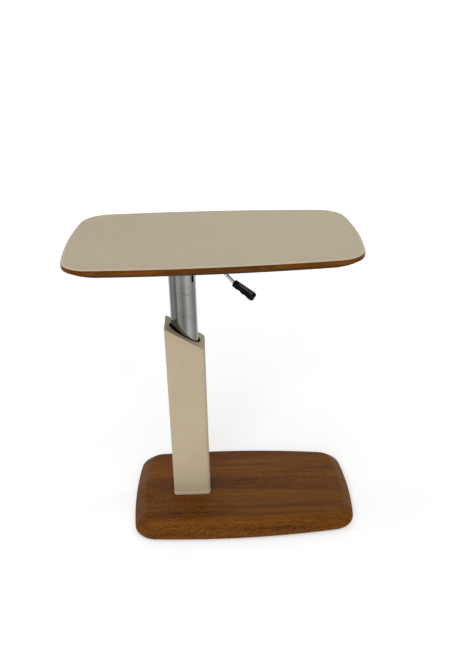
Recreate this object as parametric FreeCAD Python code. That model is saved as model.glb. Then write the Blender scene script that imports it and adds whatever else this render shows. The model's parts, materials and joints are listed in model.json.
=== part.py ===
"""Height-adjustable side table: a bowed tabletop on an oval tube that slides in a leather-clad column.

Millimetres, +Z up, X along the length, front towards -Y. The origin is on the floor, under the
middle of the whole table's bounding box. Each function makes one or a few pieces, and the last
loop writes each piece to parts/NODE.step.
"""
import FreeCAD, Part
import math
import os

Vector = FreeCAD.Vector

# ---- Base: a solid board with bowed sides, deeper at its left end ----
BASE_LENGTH = 608.0
BASE_DEPTH = 370.0
BASE_BOW_LONG = 18.0        # how far the front and back bulge between their corners
BASE_BOW_SHORT = 14.0       # how far the two ends bulge
BASE_TAPER = 9.0            # added to the half depth at the left corners, taken off at the right
BASE_CORNER_RADIUS = 63.0
BASE_TOP = 36.0             # height of the base's flat top above the floor
BASE_LIP = 9.0              # upright part of the rim, under the bevel
BASE_BEVEL = 30.0           # how far the bevel reaches in from the rim

# ---- Glides, ballast and their fasteners, under the base ----
GLIDE_HEIGHT = 3.0
GLIDE_DIAMETER = 30.0
GLIDE_CHAMFER = 1.0
GLIDE_INSET = 56.0          # glide centre to the edge of the base
GLIDE_SCREW_DIAMETER = 4.0
GLIDE_SCREW_LENGTH = 16.0
GLIDE_SCREW_SINK = 1.0      # head below the glide's running face
BALLAST_LENGTH = 320.0
BALLAST_DEPTH = 180.0
BALLAST_THICKNESS = 8.0
BALLAST_AHEAD = 90.0        # ballast centre to the right of the column axis
RECESS_DEPTH = 14.0
RECESS_CLEARANCE = 1.0
BALLAST_SCREW_DIAMETER = 5.0
BALLAST_SCREW_LENGTH = 20.0
BALLAST_SCREW_HEAD = 10.0   # head diameter
BALLAST_SCREW_INSET = 18.0
FOOT_BOLT_DIAMETER = 8.0
FOOT_BOLT_HEAD = 13.6       # head diameter
FOOT_BOLT_HEAD_HEIGHT = 5.0
FOOT_BOLT_CLEARANCE = 0.5
FOOT_BOLT_X = 29.0
FOOT_BOLT_Y = 23.0

# ---- Column: four boards, clad in leather, cut off on a slant ----
COLUMN_CORNER_RADIUS = 8.0
COLUMN_LEATHER = 1.5
CASING_WALL = 9.0
CASING_GAP_X = 5.5          # inner tube to the boards, on each side
CASING_GAP_Y = 11.0
SLANT_HIGH = 553.0          # height of the slanted top at the column's left face
SLANT_LOW = 492.0           # height of the slanted top at the column's right face
COLLAR_THICKNESS = 7.0      # both measured upright, not square to the slant
COLLAR_LEATHER = 1.8
COLLAR_GAP_X = 5.0          # inner tube to the edge of the collar's oval hole
COLLAR_GAP_Y = 4.5
COLLAR_HOLE_SIDE_RISE = 2.0  # how far the hole's long sides stand out past the rounding of its ends
FOOT_PLATE_THICKNESS = 6.0
CASING_CLEARANCE = 0.3      # between the casing's inside and what is fitted in it
BATTEN_SIZE = 12.0
BATTEN_LENGTH = 60.0

# ---- Inner tube and its guides ----
TUBE_WIDTH = 68.0
TUBE_DEPTH = 45.0
TUBE_END_RADIUS = 14.0
TUBE_WALL = 2.5
TUBE_BOTTOM = 230.0
GUIDE_CLEARANCE = 0.3
UPPER_GUIDE_GAP = 7.0       # upper guide to the lowest point of the collar above it
UPPER_GUIDE_HEIGHT = 44.0
LOWER_GUIDE_TOP = 330.0
LOWER_GUIDE_HEIGHT = 30.0
GUIDE_SCREW_DIAMETER = 4.0
GUIDE_SCREW_LENGTH = 12.0
GUIDE_SCREW_Y = 18.0

# ---- Gas spring: cylinder on a post, hollow rod with the release pin inside ----
POST_DIAMETER = 25.0
POST_WALL = 2.5
CYLINDER_DIAMETER = 28.0
CYLINDER_WALL = 1.5
CYLINDER_BOTTOM = 215.0
CYLINDER_LENGTH = 300.0
CYLINDER_END = 5.0
CYLINDER_CAP = 12.0
SPIGOT_HEIGHT = 12.0
PISTON_HEIGHT = 14.0
PISTON_BOTTOM = 425.0
ROD_DIAMETER = 10.0
ROD_BORE = 4.6
ROD_BELOW_LEVER = 9.0       # top of the rod to the lever's pivot height
ROD_END = 9.0               # solid lower end of the rod
PIN_DIAMETER = 4.0
PIN_CHAMFER = 0.5
PIN_FOOT_GAP = 4.0          # free travel under the release pin
SLIDE_CLEARANCE = 0.3

# ---- Heads of the screws and bolts that show from below ----
PAN_HEAD_HEIGHT = 3.0
HEAD_ROUNDING = 1.0
SOCKET_SHARE = 0.45         # hexagon socket across its flats, as a share of the head's diameter
SOCKET_DEPTH = 2.0

# ---- Head under the tabletop ----
HEAD_HEIGHT = 58.0
MOUNT_PLATE_LENGTH = 220.0
MOUNT_PLATE_DEPTH = 150.0
MOUNT_PLATE_THICKNESS = 5.0
MOUNT_PLATE_RADIUS = 12.0
MOUNT_SCREW_DIAMETER = 6.0
MOUNT_SCREW_LENGTH = 15.0
MOUNT_SCREW_HEAD = 11.4     # head diameter
MOUNT_SCREW_INSET = 15.0
HEAD_SCREW_DIAMETER = 6.0
HEAD_SCREW_LENGTH = 20.0
HEAD_SCREW_PLACES = ((-20.0, -4.0), (8.0, 12.0))

# ---- Release lever, in an upright plane through the tube axis ----
LEVER_TURN = -27.0          # plan angle of that plane, from +X towards the front
LEVER_BELOW_PLATE = 26.0    # pivot height to the underside of the mount plate
LEVER_PIVOT = 14.0          # pivot pin to the tube axis
PIVOT_DIAMETER = 5.0
PIVOT_SETBACK = 3.3         # pin's ends, inside the head block's surface
PIVOT_CLEARANCE = 0.05
BLADE_THICKNESS = 3.0
BLADE_HEIGHT = 8.0
BLADE_BOSS_RADIUS = 6.5
BLADE_END = 42.0            # blade meets rod, from the tube axis
NOSE_GAP = 0.3              # nose to release pin at rest
BLADE_CLEARANCE = 1.2       # blade to each side of its slot
SLOT_LENGTH = 89.0          # slot in the tube, from its upper end
HEAD_SLOT_BELOW_LEVER = 12.0
HEAD_SLOT_START = -7.0
LEVER_ROD_DIAMETER = 8.0
LEVER_BEND_RADIUS = 22.0
LEVER_BEND_PLACE = 90.0    # from the tube axis, where the rod turns down
LEVER_DROP_ANGLE = 41.5
LEVER_DROP_LENGTH = 69.0
PADDLE_ANGLE = 29.5
PADDLE_LENGTH = 62.0
PADDLE_ROOT_WIDTH = 19.0
PADDLE_END_WIDTH = 30.0
PADDLE_THICKNESS = 13.0
PADDLE_ROUNDING = 2.5
PADDLE_BORE_DEPTH = 34.0
SCALLOP_RADIUS = 14.0
SCALLOP_DEPTH = 2.5
SCALLOP_PITCH = 19.0
SCALLOP_FIRST = 20.0

# ---- Tabletop ----
TOP_LENGTH = 700.0
TOP_DEPTH = 420.0
TOP_BOW_LONG = 16.0
TOP_BOW_SHORT = 18.0
TOP_TAPER = 9.8
TOP_CORNER_RADIUS = 72.0
TOP_SURFACE = 779.0
TOP_LEATHER = 2.0
TOP_CORE = 10.5
LIPPING_WIDTH = 12.0
PANEL_THICKNESS = 7.5
PANEL_CORNER_RADIUS = 100.0  # larger than the lipping's, so the panel stands back at the corners
PANEL_BEVEL = 8.0           # how far the slope under the panel's rim runs inwards
PANEL_BEVEL_RISE = 2.5
TOP_OVER_BASE = 62.5        # how far the tabletop's middle stands to the left of the base's
COLUMN_OVER_BASE = 142.0    # how far the column axis stands to the left of the base's middle

# ---- Places that follow from the sizes above ----
BASE_X = (TOP_LENGTH / 2 + TOP_OVER_BASE - BASE_LENGTH / 2) / 2
TOP_X = BASE_X - TOP_OVER_BASE
COLUMN_X = BASE_X - COLUMN_OVER_BASE
ROOM_WIDTH = TUBE_WIDTH + 2 * CASING_GAP_X
ROOM_DEPTH = TUBE_DEPTH + 2 * CASING_GAP_Y
CASING_WIDTH = ROOM_WIDTH + 2 * CASING_WALL
CASING_DEPTH = ROOM_DEPTH + 2 * CASING_WALL
COLUMN_WIDTH = CASING_WIDTH + 2 * COLUMN_LEATHER
COLUMN_DEPTH = CASING_DEPTH + 2 * COLUMN_LEATHER
UPPER_GUIDE_TOP = SLANT_LOW - COLLAR_LEATHER - COLLAR_THICKNESS - UPPER_GUIDE_GAP
BALLAST_X = COLUMN_X + BALLAST_AHEAD
RECESS_TOP = GLIDE_HEIGHT + RECESS_DEPTH
BALLAST_BOTTOM = RECESS_TOP - BALLAST_THICKNESS
FOOT_TOP = BASE_TOP + FOOT_PLATE_THICKNESS
CORE_TOP = TOP_SURFACE - TOP_LEATHER
CORE_BOTTOM = CORE_TOP - TOP_CORE
PANEL_BOTTOM = CORE_BOTTOM - PANEL_THICKNESS
TUBE_TOP = PANEL_BOTTOM - MOUNT_PLATE_THICKNESS
HEAD_BOTTOM = TUBE_TOP - HEAD_HEIGHT
LEVER_HEIGHT = TUBE_TOP - LEVER_BELOW_PLATE
ROD_TOP = LEVER_HEIGHT - ROD_BELOW_LEVER
CYLINDER_TOP = CYLINDER_BOTTOM + CYLINDER_LENGTH
NOSE_RADIUS = BLADE_HEIGHT / 2
PIN_TOP = LEVER_HEIGHT - NOSE_RADIUS - NOSE_GAP
TALL = 2 * TOP_SURFACE


# ---- Shapes that several pieces use ----
def box(x0, x1, y0, y1, z0, z1):
    """Block between two corners."""
    return Part.makeBox(x1 - x0, y1 - y0, z1 - z0, Vector(x0, y0, z0))


def rounded_box(x, width, depth, radius, z0, z1):
    """Upright block centred on (x, 0), with its four upright edges rounded."""
    block = box(x - width / 2, x + width / 2, -depth / 2, depth / 2, z0, z1)
    upright = [e for e in block.Edges if abs(e.tangentAt(e.FirstParameter).z) > 0.9]
    return block.makeFillet(radius, upright)


def rod(x, y, z0, z1, diameter):
    """Upright round rod."""
    return Part.makeCylinder(diameter / 2, z1 - z0, Vector(x, y, z0))


def oval(x, width, depth, end_radius, z0, z1):
    """Upright oval block of four tangent arcs: two small ends and two shallow sides."""
    a = width / 2 - end_radius
    b = depth / 2
    side_radius = (a * a + b * b - end_radius ** 2) / (2 * (b - end_radius))
    lean = math.atan2(a, side_radius - b)
    join_x = a + end_radius * math.sin(lean)
    join_y = end_radius * math.cos(lean)
    joins = [(join_x, -join_y), (join_x, join_y), (-join_x, join_y), (-join_x, -join_y)]
    crowns = [(width / 2, 0), (0, b), (-width / 2, 0), (0, -b)]
    edges = []
    for i in range(4):
        ends = (joins[i], crowns[i], joins[(i + 1) % 4])
        points = [Vector(x + px, py, z0) for px, py in ends]
        edges.append(Part.Arc(*points).toShape())
    return Part.Face(Part.Wire(edges)).extrude(Vector(0, 0, z1 - z0))


def circles_meet(first, second, near):
    """The crossing of two flat circles, each given as (centre, radius), that is nearer to a point."""
    apart = second[0] - first[0]
    gap = apart.Length
    along = (gap ** 2 + first[1] ** 2 - second[1] ** 2) / (2 * gap)
    across = math.sqrt(first[1] ** 2 - along ** 2)
    ahead = apart / gap
    aside = Vector(-ahead.y, ahead.x, 0)
    crossings = [first[0] + ahead * along + aside * side * across for side in (-1, 1)]
    return min(crossings, key=lambda point: (point - near).Length)


def board_outline(x, length, depth, bow_long, bow_short, taper, radius, inset=0.0):
    """Closed wire at z = 0: four bowed sides and four tangent corners, deeper at the left end."""
    end = length / 2 - bow_short
    left = depth / 2 - bow_long + taper
    right = depth / 2 - bow_long - taper
    corners = [Vector(x - end, -left), Vector(x + end, -right),
               Vector(x + end, right), Vector(x - end, left)]
    middles = [Vector(x, -depth / 2), Vector(x + length / 2, 0),
               Vector(x, depth / 2), Vector(x - length / 2, 0)]
    sides = []
    for i in range(4):
        side = Part.Arc(corners[i], middles[i], corners[(i + 1) % 4]).toShape().Curve
        sides.append((side.Center, side.Radius))
    joins = []
    for i in range(4):
        before = (sides[i - 1][0], sides[i - 1][1] - radius)
        after = (sides[i][0], sides[i][1] - radius)
        centre = circles_meet(before, after, corners[i])
        reach = radius - inset
        enter = centre + (centre - before[0]).normalize() * reach
        leave = centre + (centre - after[0]).normalize() * reach
        crown = centre + (enter + leave - centre * 2).normalize() * reach
        joins.append((enter, crown, leave))
    edges = []
    for i in range(4):
        crown = sides[i][0] + (middles[i] - sides[i][0]).normalize() * (sides[i][1] - inset)
        edges.append(Part.Arc(*joins[i]).toShape())
        edges.append(Part.Arc(joins[i][2], crown, joins[(i + 1) % 4][0]).toShape())
    return Part.Wire(edges)


def raised(wire, z):
    """Copy of a flat wire, lifted to height z."""
    copy = wire.copy()
    copy.translate(Vector(0, 0, z))
    return copy


def slab(wire, z0, z1):
    """Upright block on a flat wire drawn at z = 0."""
    return Part.Face(raised(wire, z0)).extrude(Vector(0, 0, z1 - z0))


def bevelled(lower, z0, upper, z1):
    """Solid between two flat wires, with one straight slope all round."""
    return Part.makeLoft([raised(lower, z0), raised(upper, z1)], True, True)


def hex_socket(x, y, z, across):
    """Six-sided hole for a key, upwards from z."""
    reach = across / math.sqrt(3)
    turns = [i * math.pi / 3 for i in range(7)]
    corners = [Vector(x + reach * math.cos(turn), y + reach * math.sin(turn), z) for turn in turns]
    return Part.Face(Part.makePolygon(corners)).extrude(Vector(0, 0, SOCKET_DEPTH))


def screw_up(x, y, seat, diameter, length, head_diameter, head_height):
    """Screw driven upwards: a rounded head with a hexagon socket, under the seat."""
    bottom = seat - head_height
    head = rod(x, y, bottom, seat, head_diameter)
    rim = [e for e in head.Edges if e.Closed and e.CenterOfMass.z < seat - head_height / 2]
    head = head.makeFillet(HEAD_ROUNDING, rim)
    screw = rod(x, y, seat, seat + length, diameter).fuse(head).removeSplitter()
    return screw.cut(hex_socket(x, y, bottom, SOCKET_SHARE * head_diameter))


def slant_height(x, drop):
    """Height of the column's slanted top at x, lowered by drop."""
    along = (x - COLUMN_X + COLUMN_WIDTH / 2) / COLUMN_WIDTH
    return SLANT_HIGH + (SLANT_LOW - SLANT_HIGH) * along - drop


def above_slant(drop):
    """Everything over the column's slanted top, lowered by drop."""
    x0 = COLUMN_X - COLUMN_WIDTH
    x1 = COLUMN_X + COLUMN_WIDTH
    corners = [(x0, slant_height(x0, drop)), (x1, slant_height(x1, drop)), (x1, TALL), (x0, TALL)]
    points = [Vector(px, -COLUMN_DEPTH, pz) for px, pz in corners]
    face = Part.Face(Part.makePolygon(points + points[:1]))
    return face.extrude(Vector(0, 2 * COLUMN_DEPTH, 0))


def in_lever_plane(shape):
    """Turn a shape drawn in the XZ plane about z = 0 into the lever's plane, at the tube axis."""
    turned = shape.copy()
    turned.rotate(Vector(0, 0, 0), Vector(0, 0, 1), LEVER_TURN)
    turned.translate(Vector(COLUMN_X, 0, 0))
    return turned


# ---- Base ----
def base_outline(inset):
    """The base's outline, or a line that runs inside it."""
    return board_outline(BASE_X, BASE_LENGTH, BASE_DEPTH, BASE_BOW_LONG, BASE_BOW_SHORT,
                         BASE_TAPER, BASE_CORNER_RADIUS, inset)


def glide_places():
    """Name and place of each glide: three along the front and three along the back."""
    x_step = BASE_LENGTH / 2 - GLIDE_INSET
    y_step = BASE_DEPTH / 2 - GLIDE_INSET
    places = {}
    for row, y in (("front", -y_step), ("back", y_step)):
        for column, x in (("left", -x_step), ("middle", 0.0), ("right", x_step)):
            places[f"glide_{row}_{column}"] = (BASE_X + x, y)
    return places


def ballast_screw_places():
    x_step = BALLAST_LENGTH / 2 - BALLAST_SCREW_INSET
    y_step = BALLAST_DEPTH / 2 - BALLAST_SCREW_INSET
    return [(BALLAST_X + i * x_step, j * y_step) for i in (-1, 1) for j in (-1, 1)]


def foot_bolt_places():
    return [(COLUMN_X + i * FOOT_BOLT_X, j * FOOT_BOLT_Y) for i in (-1, 1) for j in (-1, 1)]


def base_board():
    """Board with an upright lip, a wide bevel above it and a recess for the ballast below."""
    lip_top = GLIDE_HEIGHT + BASE_LIP
    board = slab(base_outline(0), GLIDE_HEIGHT, lip_top)
    upper = bevelled(base_outline(0), lip_top, base_outline(BASE_BEVEL), BASE_TOP)
    board = board.fuse(upper).removeSplitter()
    half_length = BALLAST_LENGTH / 2 + RECESS_CLEARANCE
    half_depth = BALLAST_DEPTH / 2 + RECESS_CLEARANCE
    recess = box(BALLAST_X - half_length, BALLAST_X + half_length, -half_depth, half_depth,
                 GLIDE_HEIGHT, RECESS_TOP)
    holes = [recess]
    bolt_hole = FOOT_BOLT_DIAMETER + 2 * FOOT_BOLT_CLEARANCE
    holes += [rod(x, y, 0, TALL, bolt_hole) for x, y in foot_bolt_places()]
    screw_top = BALLAST_BOTTOM + BALLAST_SCREW_LENGTH
    holes += [rod(x, y, 0, screw_top, BALLAST_SCREW_DIAMETER) for x, y in ballast_screw_places()]
    screw_top = GLIDE_SCREW_SINK + GLIDE_SCREW_LENGTH
    holes += [rod(x, y, 0, screw_top, GLIDE_SCREW_DIAMETER) for x, y in glide_places().values()]
    return board.cut(holes)


def ballast_plate():
    half_length = BALLAST_LENGTH / 2
    half_depth = BALLAST_DEPTH / 2
    plate = box(BALLAST_X - half_length, BALLAST_X + half_length, -half_depth, half_depth,
                BALLAST_BOTTOM, RECESS_TOP)
    bolt_hole = FOOT_BOLT_DIAMETER + 2 * FOOT_BOLT_CLEARANCE
    holes = [rod(x, y, 0, TALL, bolt_hole) for x, y in foot_bolt_places()]
    holes += [rod(x, y, 0, TALL, BALLAST_SCREW_DIAMETER) for x, y in ballast_screw_places()]
    return plate.cut(holes)


def ballast_screws():
    screws = [screw_up(x, y, BALLAST_BOTTOM, BALLAST_SCREW_DIAMETER, BALLAST_SCREW_LENGTH,
                       BALLAST_SCREW_HEAD, PAN_HEAD_HEIGHT) for x, y in ballast_screw_places()]
    return Part.makeCompound(screws)


def foot_bolts():
    length = FOOT_TOP - BALLAST_BOTTOM
    bolts = [screw_up(x, y, BALLAST_BOTTOM, FOOT_BOLT_DIAMETER, length,
                      FOOT_BOLT_HEAD, FOOT_BOLT_HEAD_HEIGHT) for x, y in foot_bolt_places()]
    return Part.makeCompound(bolts)


def glide_screw(x, y):
    """Countersunk screw that holds one glide: a cone head on a straight shank."""
    head_height = GLIDE_SCREW_DIAMETER / 2
    head = Part.makeCone(GLIDE_SCREW_DIAMETER, GLIDE_SCREW_DIAMETER / 2, head_height,
                         Vector(x, y, GLIDE_SCREW_SINK))
    shank = rod(x, y, GLIDE_SCREW_SINK, GLIDE_SCREW_SINK + GLIDE_SCREW_LENGTH, GLIDE_SCREW_DIAMETER)
    return head.fuse(shank).removeSplitter()


def glide(x, y):
    """Round pad with a softened lower rim and a countersunk hole."""
    pad = rod(x, y, 0, GLIDE_HEIGHT, GLIDE_DIAMETER)
    rim = [e for e in pad.Edges if e.Closed and e.CenterOfMass.z < GLIDE_HEIGHT / 2]
    pad = pad.makeChamfer(GLIDE_CHAMFER, rim)
    opening = rod(x, y, 0, GLIDE_SCREW_SINK, 2 * GLIDE_SCREW_DIAMETER)
    return pad.cut([opening, glide_screw(x, y)])


def glides():
    return {name: glide(x, y) for name, (x, y) in glide_places().items()}


def glide_screws():
    across = SOCKET_SHARE * 2 * GLIDE_SCREW_DIAMETER
    screws = [glide_screw(x, y).cut(hex_socket(x, y, GLIDE_SCREW_SINK, across))
              for x, y in glide_places().values()]
    return Part.makeCompound(screws)


# ---- Column ----
def casing_boards():
    """Front, back, left and right board of the column, cut on the slant."""
    collar_drop = COLLAR_LEATHER + COLLAR_THICKNESS
    outside = rounded_box(COLUMN_X, CASING_WIDTH, CASING_DEPTH,
                          COLUMN_CORNER_RADIUS - COLUMN_LEATHER, BASE_TOP, TALL)
    room_x0 = COLUMN_X - ROOM_WIDTH / 2
    room_x1 = COLUMN_X + ROOM_WIDTH / 2
    room_y = ROOM_DEPTH / 2
    room = box(room_x0, room_x1, -room_y, room_y, 0, TALL)
    shell = outside.cut([room, above_slant(collar_drop)]).cut(guide_screw_solids())
    far = COLUMN_WIDTH
    return {
        "casing_front": shell.common(box(COLUMN_X - far, COLUMN_X + far, -far, -room_y, 0, TALL)),
        "casing_back": shell.common(box(COLUMN_X - far, COLUMN_X + far, room_y, far, 0, TALL)),
        "casing_left": shell.common(box(COLUMN_X - far, room_x0, -room_y, room_y, 0, TALL)),
        "casing_right": shell.common(box(room_x1, COLUMN_X + far, -room_y, room_y, 0, TALL)),
    }


def collar_hole(z0):
    width = TUBE_WIDTH + 2 * COLLAR_GAP_X
    depth = TUBE_DEPTH + 2 * COLLAR_GAP_Y
    end_radius = depth / 2 - COLLAR_HOLE_SIDE_RISE
    return oval(COLUMN_X, width, depth, end_radius, z0, TALL)


def slanted_plate(drop, thickness):
    """Plate of even thickness that follows the slant, with the oval hole for the tube."""
    block = rounded_box(COLUMN_X, CASING_WIDTH, CASING_DEPTH,
                        COLUMN_CORNER_RADIUS - COLUMN_LEATHER, BASE_TOP, TALL)
    under = block.cut(above_slant(drop + thickness))
    return block.cut([above_slant(drop), under, collar_hole(BASE_TOP)])


def collar_plate():
    return slanted_plate(COLLAR_LEATHER, COLLAR_THICKNESS)


def collar_leather():
    return slanted_plate(0.0, COLLAR_LEATHER)


def column_leather():
    """Wrap round the four boards, from the base to the slanted edge."""
    outside = rounded_box(COLUMN_X, COLUMN_WIDTH, COLUMN_DEPTH, COLUMN_CORNER_RADIUS, BASE_TOP, TALL)
    inside = rounded_box(COLUMN_X, CASING_WIDTH, CASING_DEPTH,
                         COLUMN_CORNER_RADIUS - COLUMN_LEATHER, BASE_TOP, TALL)
    return outside.cut([inside, above_slant(0.0)])


def foot_plate():
    width = ROOM_WIDTH - 2 * CASING_CLEARANCE
    depth = ROOM_DEPTH - 2 * CASING_CLEARANCE
    plate = box(COLUMN_X - width / 2, COLUMN_X + width / 2, -depth / 2, depth / 2, BASE_TOP, FOOT_TOP)
    return plate.cut([rod(x, y, 0, TALL, FOOT_BOLT_DIAMETER) for x, y in foot_bolt_places()])


def battens():
    """Two wooden battens glued in the front and back corners between casing and foot plate."""
    x0 = COLUMN_X - BATTEN_LENGTH / 2
    x1 = COLUMN_X + BATTEN_LENGTH / 2
    y1 = ROOM_DEPTH / 2
    y0 = y1 - BATTEN_SIZE
    z1 = FOOT_TOP + BATTEN_SIZE
    return {"batten_front": box(x0, x1, -y1, -y0, FOOT_TOP, z1),
            "batten_back": box(x0, x1, y0, y1, FOOT_TOP, z1)}


def tube_oval(grow, z0, z1):
    """Solid oval of the tube's outside, grown all round."""
    return oval(COLUMN_X, TUBE_WIDTH + 2 * grow, TUBE_DEPTH + 2 * grow, TUBE_END_RADIUS + grow, z0, z1)


def guide_screw_heights():
    upper = UPPER_GUIDE_TOP - UPPER_GUIDE_HEIGHT / 2
    lower = LOWER_GUIDE_TOP - LOWER_GUIDE_HEIGHT / 2
    return (upper, lower)


def guide_screw_solids():
    """Countersunk screws driven through the left and right boards into the guides."""
    radius = GUIDE_SCREW_DIAMETER / 2
    screws = []
    for side in (-1, 1):
        x = COLUMN_X + side * CASING_WIDTH / 2
        inward = Vector(-side, 0, 0)
        for y in (-GUIDE_SCREW_Y, GUIDE_SCREW_Y):
            for z in guide_screw_heights():
                place = Vector(x, y, z)
                head = Part.makeCone(2 * radius, radius, radius, place, inward)
                shank = Part.makeCylinder(radius, GUIDE_SCREW_LENGTH, place, inward)
                screws.append(head.fuse(shank).removeSplitter())
    return screws


def guide(top, height):
    """Block that fills the casing, with an oval bore in which the tube slides."""
    width = ROOM_WIDTH - 2 * CASING_CLEARANCE
    depth = ROOM_DEPTH - 2 * CASING_CLEARANCE
    block = box(COLUMN_X - width / 2, COLUMN_X + width / 2, -depth / 2, depth / 2, top - height, top)
    bore = tube_oval(GUIDE_CLEARANCE, top - height, top)
    return block.cut([bore] + guide_screw_solids())


# ---- Gas spring ----
def spring_post():
    post = rod(COLUMN_X, 0, FOOT_TOP, CYLINDER_BOTTOM, POST_DIAMETER)
    return post.cut(rod(COLUMN_X, 0, FOOT_TOP, CYLINDER_BOTTOM, POST_DIAMETER - 2 * POST_WALL))


def gas_cylinder():
    """Closed cylinder with a spigot below and a bored cap above."""
    shell = rod(COLUMN_X, 0, CYLINDER_BOTTOM, CYLINDER_TOP, CYLINDER_DIAMETER)
    spigot = rod(COLUMN_X, 0, CYLINDER_BOTTOM - SPIGOT_HEIGHT, CYLINDER_BOTTOM,
                 POST_DIAMETER - 2 * POST_WALL)
    chamber = rod(COLUMN_X, 0, CYLINDER_BOTTOM + CYLINDER_END, CYLINDER_TOP - CYLINDER_CAP,
                  CYLINDER_DIAMETER - 2 * CYLINDER_WALL)
    bore = rod(COLUMN_X, 0, CYLINDER_TOP - CYLINDER_CAP, CYLINDER_TOP,
               ROD_DIAMETER + 2 * SLIDE_CLEARANCE)
    return shell.fuse(spigot).cut([chamber, bore]).removeSplitter()


def gas_piston():
    diameter = CYLINDER_DIAMETER - 2 * CYLINDER_WALL - 2 * SLIDE_CLEARANCE
    piston = rod(COLUMN_X, 0, PISTON_BOTTOM, PISTON_BOTTOM + PISTON_HEIGHT, diameter)
    return piston.cut(rod(COLUMN_X, 0, PISTON_BOTTOM, PISTON_BOTTOM + PISTON_HEIGHT, ROD_DIAMETER))


def gas_rod():
    body = rod(COLUMN_X, 0, PISTON_BOTTOM, ROD_TOP, ROD_DIAMETER)
    return body.cut(rod(COLUMN_X, 0, PISTON_BOTTOM + ROD_END, ROD_TOP, ROD_BORE))


def release_pin():
    bottom = PISTON_BOTTOM + ROD_END + PIN_FOOT_GAP
    pin = rod(COLUMN_X, 0, bottom, PIN_TOP, PIN_DIAMETER)
    rim = [e for e in pin.Edges if e.Closed and e.CenterOfMass.z > PIN_TOP - NOSE_GAP]
    return pin.makeChamfer(PIN_CHAMFER, rim)


# ---- Tube and head ----
def lever_slot(start, z0):
    """Upright slot in the lever's plane, open upwards and outwards."""
    half = BLADE_THICKNESS / 2 + BLADE_CLEARANCE
    cut = box(start, TUBE_WIDTH, -half, half, z0, TALL)
    return in_lever_plane(cut)


def inner_tube():
    tube = tube_oval(0.0, TUBE_BOTTOM, TUBE_TOP).cut(tube_oval(-TUBE_WALL, TUBE_BOTTOM, TUBE_TOP))
    return tube.cut(lever_slot(0.0, TUBE_TOP - SLOT_LENGTH))


def pivot_length():
    """Length of a pin that stays inside the head block at both ends."""
    turn = math.radians(LEVER_TURN)
    room = TUBE_DEPTH / 2 - TUBE_WALL - abs(LEVER_PIVOT * math.sin(turn))
    return 2 * (room / math.cos(turn) - PIVOT_SETBACK)


def pivot_axis(length, diameter):
    """Level round bar across the lever's plane, at the pivot."""
    bar = Part.makeCylinder(diameter / 2, length, Vector(LEVER_PIVOT, -length / 2, LEVER_HEIGHT),
                            Vector(0, 1, 0))
    return in_lever_plane(bar)


def head_screw(x, y):
    """Countersunk screw from the top of the mount plate down into the head block."""
    head_height = HEAD_SCREW_DIAMETER / 2
    shank = rod(COLUMN_X + x, y, PANEL_BOTTOM - HEAD_SCREW_LENGTH, PANEL_BOTTOM, HEAD_SCREW_DIAMETER)
    head = Part.makeCone(HEAD_SCREW_DIAMETER / 2, HEAD_SCREW_DIAMETER, head_height,
                         Vector(COLUMN_X + x, y, PANEL_BOTTOM - head_height))
    return shank.fuse(head).removeSplitter()


def head_screw_solids():
    return [head_screw(x, y) for x, y in HEAD_SCREW_PLACES]


def head_block():
    """Plug in the tube's upper end: it holds the gas spring's rod and the lever's pivot."""
    plug = tube_oval(-TUBE_WALL, HEAD_BOTTOM, TUBE_TOP)
    seat = rod(COLUMN_X, 0, HEAD_BOTTOM, ROD_TOP, ROD_DIAMETER)
    cross_hole = pivot_axis(2 * TUBE_WIDTH, PIVOT_DIAMETER)
    slot = lever_slot(HEAD_SLOT_START, LEVER_HEIGHT - HEAD_SLOT_BELOW_LEVER)
    return plug.cut([seat, slot, cross_hole] + head_screw_solids())


def mount_screw_places():
    x_step = MOUNT_PLATE_LENGTH / 2 - MOUNT_SCREW_INSET
    y_step = MOUNT_PLATE_DEPTH / 2 - MOUNT_SCREW_INSET
    return [(COLUMN_X + i * x_step, j * y_step) for i in (-1, 0, 1) for j in (-1, 1)]


def mount_screw_solids():
    return [screw_up(x, y, TUBE_TOP, MOUNT_SCREW_DIAMETER, MOUNT_SCREW_LENGTH,
                     MOUNT_SCREW_HEAD, PAN_HEAD_HEIGHT) for x, y in mount_screw_places()]


def mount_plate():
    plate = rounded_box(COLUMN_X, MOUNT_PLATE_LENGTH, MOUNT_PLATE_DEPTH, MOUNT_PLATE_RADIUS,
                        TUBE_TOP, PANEL_BOTTOM)
    return plate.cut(mount_screw_solids() + head_screw_solids())


# ---- Lever ----
def lever_blade():
    """Flat bar through the slot: round nose over the release pin, boss round the pivot."""
    half = BLADE_THICKNESS / 2
    bar = box(0, BLADE_END, -half, half, LEVER_HEIGHT - NOSE_RADIUS, LEVER_HEIGHT + NOSE_RADIUS)
    across = Vector(0, 1, 0)
    nose = Part.makeCylinder(NOSE_RADIUS, BLADE_THICKNESS, Vector(0, -half, LEVER_HEIGHT), across)
    boss = Part.makeCylinder(BLADE_BOSS_RADIUS, BLADE_THICKNESS,
                             Vector(LEVER_PIVOT, -half, LEVER_HEIGHT), across)
    blade = in_lever_plane(bar.fuse([nose, boss]).removeSplitter())
    return blade.cut(pivot_axis(TUBE_WIDTH, PIVOT_DIAMETER + 2 * PIVOT_CLEARANCE))


def lever_points():
    """Corners of the rod's centre line, as distance from the tube axis and height."""
    drop = math.radians(LEVER_DROP_ANGLE)
    slope = math.radians(PADDLE_ANGLE)
    start = (BLADE_END, LEVER_HEIGHT)
    bend = (LEVER_BEND_PLACE, LEVER_HEIGHT)
    root = (bend[0] + LEVER_DROP_LENGTH * math.cos(drop), bend[1] - LEVER_DROP_LENGTH * math.sin(drop))
    tip = (root[0] + PADDLE_BORE_DEPTH * math.cos(slope), root[1] - PADDLE_BORE_DEPTH * math.sin(slope))
    return [Vector(d, 0, z) for d, z in (start, bend, root, tip)]


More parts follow.
